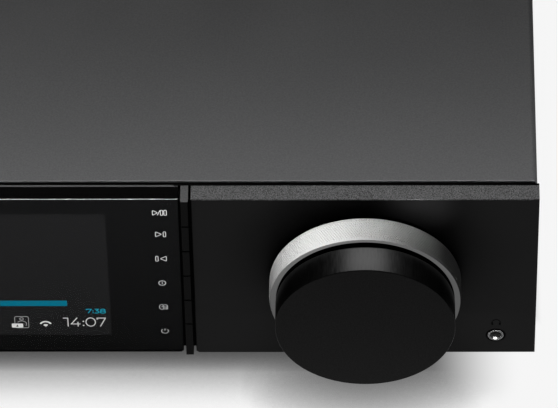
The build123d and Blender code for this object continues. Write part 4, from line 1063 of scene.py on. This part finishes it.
def make_terminal_cap(node):
    """A thumb nut with scalloped flutes, a rounded end and an open bore; it turns on its own body."""
    low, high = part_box(node)
    outer = (high.x - low.x) / 2
    bore = 3.3 * MM
    tip = outer - 0.7 * MM
    profile = [(bore, high.y), (outer, high.y), (outer, low.y + 2.2 * MM), (tip, low.y), (bore, low.y)]
    profile = rounded(profile, 0.5 * MM)
    segments = 144

    def flute(i, j):
        radius, y = profile[j]
        if radius > outer - 0.6 * MM and y > low.y + 2.0 * MM:
            return -0.75 * MM * max(0.0, math.cos(FLUTES * 2 * math.pi * i / segments)) ** 1.3
        return 0.0

    bm = bmesh.new()
    turn(bm, profile, middle(node), segments, flute)
    name = node.removeprefix("terminal_")
    material, slot = (RED, "cap_red") if node.endswith("plus") else (GLOSS_BLACK, "cap_black")
    add_piece(name, bm, material, body=name, stands_for=node)


THREAD_PITCH = 0.7 * MM
THREAD_DEPTH = 0.28 * MM
THREAD_ROWS = 78


def make_aerial_sockets():
    """Two threaded barrels, each with a hexagon shoulder, an open mouth and a pin."""
    low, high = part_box("aerial_sockets")
    barrels, nuts, pins = bmesh.new(), bmesh.new(), bmesh.new()
    radius = 3.175 * MM
    start, mouth_end = REAR_Y + 2.0 * MM, REAR_Y + 4.0 * MM
    step = (high.y - start) / THREAD_ROWS
    profile = [(radius, start + step * j) for j in range(THREAD_ROWS + 1)]
    mouth, pin_hole = 2.4 * MM, 1.0 * MM
    profile += [(mouth, high.y), (mouth, mouth_end), (pin_hole, mouth_end), (pin_hole, start)]
    segments = 48

    def groove(i, j):
        if j > THREAD_ROWS:
            return 0.0
        if not 2 < j < THREAD_ROWS - 2:
            return -0.25 * MM
        turns = step * j / THREAD_PITCH + i / segments
        return -THREAD_DEPTH * abs(2 * (turns % 1) - 1)

    z = (low.z + high.z) / 2
    for x in (low.x + 4.2 * MM, high.x - 4.2 * MM):
        turn(barrels, profile, Vector((x, 0, z)), segments, groove)
        hexagon = oval(x, z, 4.0 * MM / math.cos(math.pi / 6), steps=6)
        slab(nuts, hexagon, start, REAR_Y, 0.25 * MM)
        slab(nuts, oval(x, z, 4.2 * MM), REAR_Y - 1.5 * MM, REAR_Y - 3.5 * MM)
        slab(pins, oval(x, z, 0.5 * MM, steps=20), high.y - 1 * MM, REAR_Y + 3.5 * MM, 0.2 * MM, 2)
    add_piece("aerial_barrels", barrels, GOLD, corner=25, stands_for="aerial_sockets")
    add_piece("aerial_nuts", nuts, GOLD)
    add_piece("aerial_pins", pins, GOLD)


def make_phono_rings():
    """Coloured insulators in the mouths of the phono sockets: white above, red below."""
    low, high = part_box("phono_sockets")
    inner, outer = 2.72 * MM, 3.48 * MM
    deep, mouth = REAR_Y + 2 * MM, high.y - 0.5 * MM
    for name, drop, material in (("upper", 9, WHITE), ("lower", 31, RED)):
        bm = bmesh.new()
        for i in range(3):
            centre = Vector((low.x + (7 + 18 * i) * MM, 0, high.z - drop * MM))
            add_tube(bm, centre, inner, outer, deep, mouth, 0.12 * MM, 2, 64)
        add_piece(f"phono_rings_{name}", bm, material)


def make_port_contacts():
    """Gold contact wires in the network and USB sockets, and two small lamps beside the network plug."""
    network, usb = middle("network_socket"), middle("usb_socket")
    contacts = Sheet(REAR_Y - 9 * MM, REAR_Y - 3 * MM, network.x, network.z)
    for i in range(8):
        x = (i - 3.5) * 1.02
        contacts.fill(rectangle(x - 0.2, 2.4, x + 0.2, 3.9), 0.1, 2)
    contacts.move(usb.x, usb.z)
    contacts.far = REAR_Y - 2 * MM
    for i in range(4):
        x = (i - 1.5) * 2.2
        contacts.fill(rectangle(x - 0.5, -0.05, x + 0.5, 0.12))
    contacts.add("port_contacts", GOLD, "gold_plate")
    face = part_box("network_socket")[1].y
    for side, x, colour in (("left", -6.9, (0.05, 0.6, 0.1)), ("right", 6.9, (0.8, 0.45, 0.05))):
        lamp = Sheet(face + 0.12 * MM, face - 0.2 * MM, network.x, network.z)
        lamp.fill(rectangle(x - 0.7, -5.4, x + 0.7, -3.4, 0.15), 0.05, 2)
        name = f"network_lamp_{side}"
        lamp.add(name, lit(name, colour, 0.25, unlit=tint(colour, 0.3)), "shield_can")


def make_rear_marks():
    """Printed plus and minus signs by the speaker terminals, and fine frames round groups of sockets."""
    marks = Sheet(REAR_Y + 0.03 * MM, REAR_Y - 0.02 * MM)
    for node in CAP_NODES:
        place = middle(node)
        marks.move(place.x, place.z + 12.5 * MM)
        marks.line([(-1.6, 0), (1.6, 0)], 0.6)
        if node.endswith("plus"):
            for way in (1, -1):
                marks.line([(0, way * 0.35), (0, way * 1.6)], 0.6)
    for node, side, height in (("terminal_bases", 4, 9), ("phono_sockets", 3, 3), ("mains_inlet", 3, 4)):
        low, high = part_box(node)
        bottom = max(low.z, 22 * MM)
        marks.move(low.x, bottom)
        wide, tall = (high.x - low.x) / MM, (high.z - bottom) / MM
        marks.line(rectangle(-side, -height, wide + side, tall + height, 2), 0.35, closed=True)
    marks.add("rear_marks", REAR_INK, "rear_paint")


def make_switch_marks():
    """A line and a circle printed on the mains rocker's two halves, following its hollow and its tilt."""
    marks = Sheet(0.0, -0.05 * MM)
    marks.line([(0, 3.4), (0, 5.6)], 0.5)
    marks.line(oval(0, -4.6, 1.1, steps=24), 0.45, closed=True)
    hollow = 22.6 * MM
    hollow_centre = REAR_Y + 24.03 * MM
    pivot = Vector((middle("mains_rocker").x, REAR_Y - 3.0 * MM, middle("switch_frame").z))
    bm = marks.bm
    for v in bm.verts:
        v.co.y += hollow_centre - math.sqrt(hollow ** 2 - v.co.z ** 2)
        v.co.x += pivot.x
        v.co.z += pivot.z
    bmesh.ops.rotate(bm, verts=bm.verts, cent=pivot, matrix=Matrix.Rotation(math.radians(8), 3, "X"))
    add_piece("rocker_marks", bm, REAR_INK, body="rocker")


for cap_node in CAP_NODES:
    make_terminal_cap(cap_node)
make_aerial_sockets()
make_phono_rings()
make_port_contacts()
make_rear_marks()
make_switch_marks()


# ---- floor, light and camera ----
FLOOR_LEVEL = 0.92
FLOOR_HALF = 40.0  # metres, so that low views have floor to the horizon
SHADOW_REACH = 34.0 * MM
SHADOW_CLEAR = 0.78  # how open a spot has to be to have no shadow
SHADOW_CURVE = 2.5
SHADOW_DEEPEST = 0.04
SHADOW_FADE_X = (114.0, 155.0)  # where the painted shadow fades out on the right, in millimetres along X and Y
SHADOW_FADE_Y = (-135.0, -115.0)
BESIDE_X = (153.0, 162.0)
REFLECTION_SHADE_X = (150.0, 230.0)  # painted shade: the floor on the right is darkened in reflections


def floor_paper():
    """White paper that glows, so no light is needed to see it; its contact shadow is painted from how open
    each spot is, and fades out on the right.
    """
    finish = Finish("floor_paper", (0, 0, 0), 1.0, specular=0.0)
    x = finish.axis("X")
    openness = finish.new("AmbientOcclusion", {"Distance": SHADOW_REACH}, samples=24).outputs["AO"]
    shade = finish.math("POWER", finish.remap(openness, 0, SHADOW_CLEAR), SHADOW_CURVE)
    shade = finish.remap(shade, 0, 1, SHADOW_DEEPEST, 1)
    # The painted shadow fades out towards the right, in front and beside the player.
    along = finish.remap(x, *SHADOW_FADE_X, curve="SMOOTHSTEP")
    in_front = finish.remap(finish.axis("Y"), *SHADOW_FADE_Y, 1, 0, "SMOOTHSTEP")
    beside = finish.remap(x, *BESIDE_X, curve="SMOOTHSTEP")
    shadow_faded = finish.math("MAXIMUM", finish.times(along, in_front), beside)
    shade = finish.math("MAXIMUM", shade, shadow_faded)
    ray = finish.new("LightPath").outputs
    # Painted shade: glossy rays see the floor darker towards the right.
    reflection_shaded = finish.remap(x, *REFLECTION_SHADE_X, 1, 0.03, "SMOOTHSTEP")
    shade = finish.times(shade, finish.remap(ray["Is Glossy Ray"], 0, 1, 1, reflection_shaded))
    shade = finish.math("MAXIMUM", shade, ray["Is Diffuse Ray"])
    finish.surface(finish.new("Emission", {"Strength": finish.times(shade, FLOOR_LEVEL)}))
    return finish.material


def link_light(source, only=(), without=()):
    """Makes a light, or a glowing surface, fall on only some pieces or on all but some."""
    group = bpy.data.collections.new(source.name + "_pieces")
    for piece in only + without:
        group.objects.link(bpy.data.objects[piece])
    if without:
        for member in group.collection_objects:
            member.light_linking.link_state = "EXCLUDE"
    source.light_linking.receiver_collection = group


def make_floor():
    """A plain square of white paper under the player."""
    bm = bmesh.new()
    corners = rectangle(-FLOOR_HALF, -FLOOR_HALF, FLOOR_HALF, FLOOR_HALF)
    bm.faces.new([bm.verts.new((x, y, 0)) for x, y in corners])
    mesh = bpy.data.meshes.new("floor")
    bm.to_mesh(mesh)
    bm.free()
    mesh.materials.append(floor_paper())
    floor = bpy.data.objects.new("floor", mesh)
    bpy.context.scene.collection.objects.link(floor)
    link_light(floor, without=RING)


def make_light(name, place, target, size, power, spread=180.0, only=(), without=()):
    """A soft rectangular light the camera can't see, in metres and watts; only or without pick its pieces."""
    data = bpy.data.lights.new(name, "AREA")
    data.shape = "RECTANGLE"
    data.size, data.size_y = size
    data.energy = power
    data.spread = math.radians(spread)
    light = bpy.data.objects.new(name, data)
    light.location = place
    light.rotation_euler = (Vector(target) - Vector(place)).to_track_quat("-Z", "Y").to_euler()
    light.visible_camera = False
    bpy.context.scene.collection.objects.link(light)
    if only or without:
        link_light(light, only, without)


def make_world(lighting, seen):
    """A pale studio: one brightness for lighting, another where the camera sees it."""
    world = bpy.data.worlds.new("studio")
    bpy.context.scene.world = world
    world.use_nodes = True
    nodes, links = world.node_tree.nodes, world.node_tree.links
    path = nodes.new("ShaderNodeLightPath")
    strength = nodes.new("ShaderNodeMix")
    strength.inputs["A"].default_value = lighting
    strength.inputs["B"].default_value = seen
    links.new(path.outputs["Is Camera Ray"], strength.inputs["Factor"])
    links.new(strength.outputs[0], nodes["Background"].inputs["Strength"])
    nodes["Background"].inputs["Color"].default_value = (1, 1, 1, 1)


CAMERA_ANGLES = (1.53, 49.60, -1.225)  # azimuth, elevation and roll, in degrees
CAMERA_DISTANCE = 1.7975  # metres
CAMERA_LENS = 359.0  # focal length in millimetres


def make_camera():
    """A long lens from about fifty degrees above, nearly square to the front, on the front right corner."""
    azimuth, elevation, roll = (math.radians(a) for a in CAMERA_ANGLES)
    target = Vector((KNOB.x - 27.78 * MM, FASCIA_LOW.y, KNOB.z + 36.92 * MM))
    flat = math.cos(elevation)
    back = Vector((math.sin(azimuth) * flat, -math.cos(azimuth) * flat, math.sin(elevation)))
    right = (-back).cross(Vector((0, 0, 1))).normalized()
    up = back.cross(right)
    rolled_right = right * math.cos(roll) + up * math.sin(roll)
    rolled_up = up * math.cos(roll) - right * math.sin(roll)
    data = bpy.data.cameras.new("camera")
    data.sensor_width = 36.0
    data.lens = CAMERA_LENS
    data.clip_start, data.clip_end = 0.05, 200.0
    camera = bpy.data.objects.new("camera", data)
    rotation = Matrix((rolled_right, rolled_up, back)).transposed()
    camera.matrix_world = Matrix.Translation(target + back * CAMERA_DISTANCE) @ rotation.to_4x4()
    bpy.context.scene.collection.objects.link(camera)
    bpy.context.scene.camera = camera


RING = ("knurled_ring",)
CAP = ("knob_cap",)
TURNED = RING + CAP
LOW_FRONT = Vector((0.05, -0.26, 0.0))
PLAYER = Vector((0.10, -0.17, 0.05))
RING_EDGE = Vector((KNOB.x - 0.013, -0.16, KNOB.z + 0.028))
PATCH = Vector((KNOB.x + 0.0165, FASCIA_LOW.y, 0.0845))
PATCH_LIGHT = Vector((KNOB.x + 0.021, FASCIA_LOW.y - 0.12, 0.0865))
make_floor()
make_world(0.02, FLOOR_LEVEL)
make_light("overhead_back", (0.14, 0.53, 0.90), PLAYER, (0.40, 0.60), 0.92, without=TURNED)
make_light("beam_front", (0.05, -0.26, 0.75), LOW_FRONT, (1.6, 0.10), 1.7, spread=34, without=TURNED)
make_light("front_up", (0.05, -0.95, 0.80), (0.05, -0.15, 0.05), (1.2, 0.5), 0.3, without=TURNED)
make_light("ring_left", (-0.60, -0.95, 1.00), RING_EDGE, (0.03, 0.03), 0.0055, spread=2.5, only=RING)
make_light("knob_top", (0.12, 0.53, 0.95), PLAYER, (0.78, 0.5), 2.5, only=CAP)
make_light("fascia_patch", PATCH_LIGHT, PATCH, (0.006, 0.003), 0.0022, spread=13, only=("fascia",))
make_light("rear", (-0.4, 1.3, 0.9), (0.0, 0.15, 0.05), (1.4, 0.6), 8.0, without=TURNED)
make_camera()

scene = bpy.context.scene
scene.view_settings.view_transform = "Standard"
scene.view_settings.look = "None"
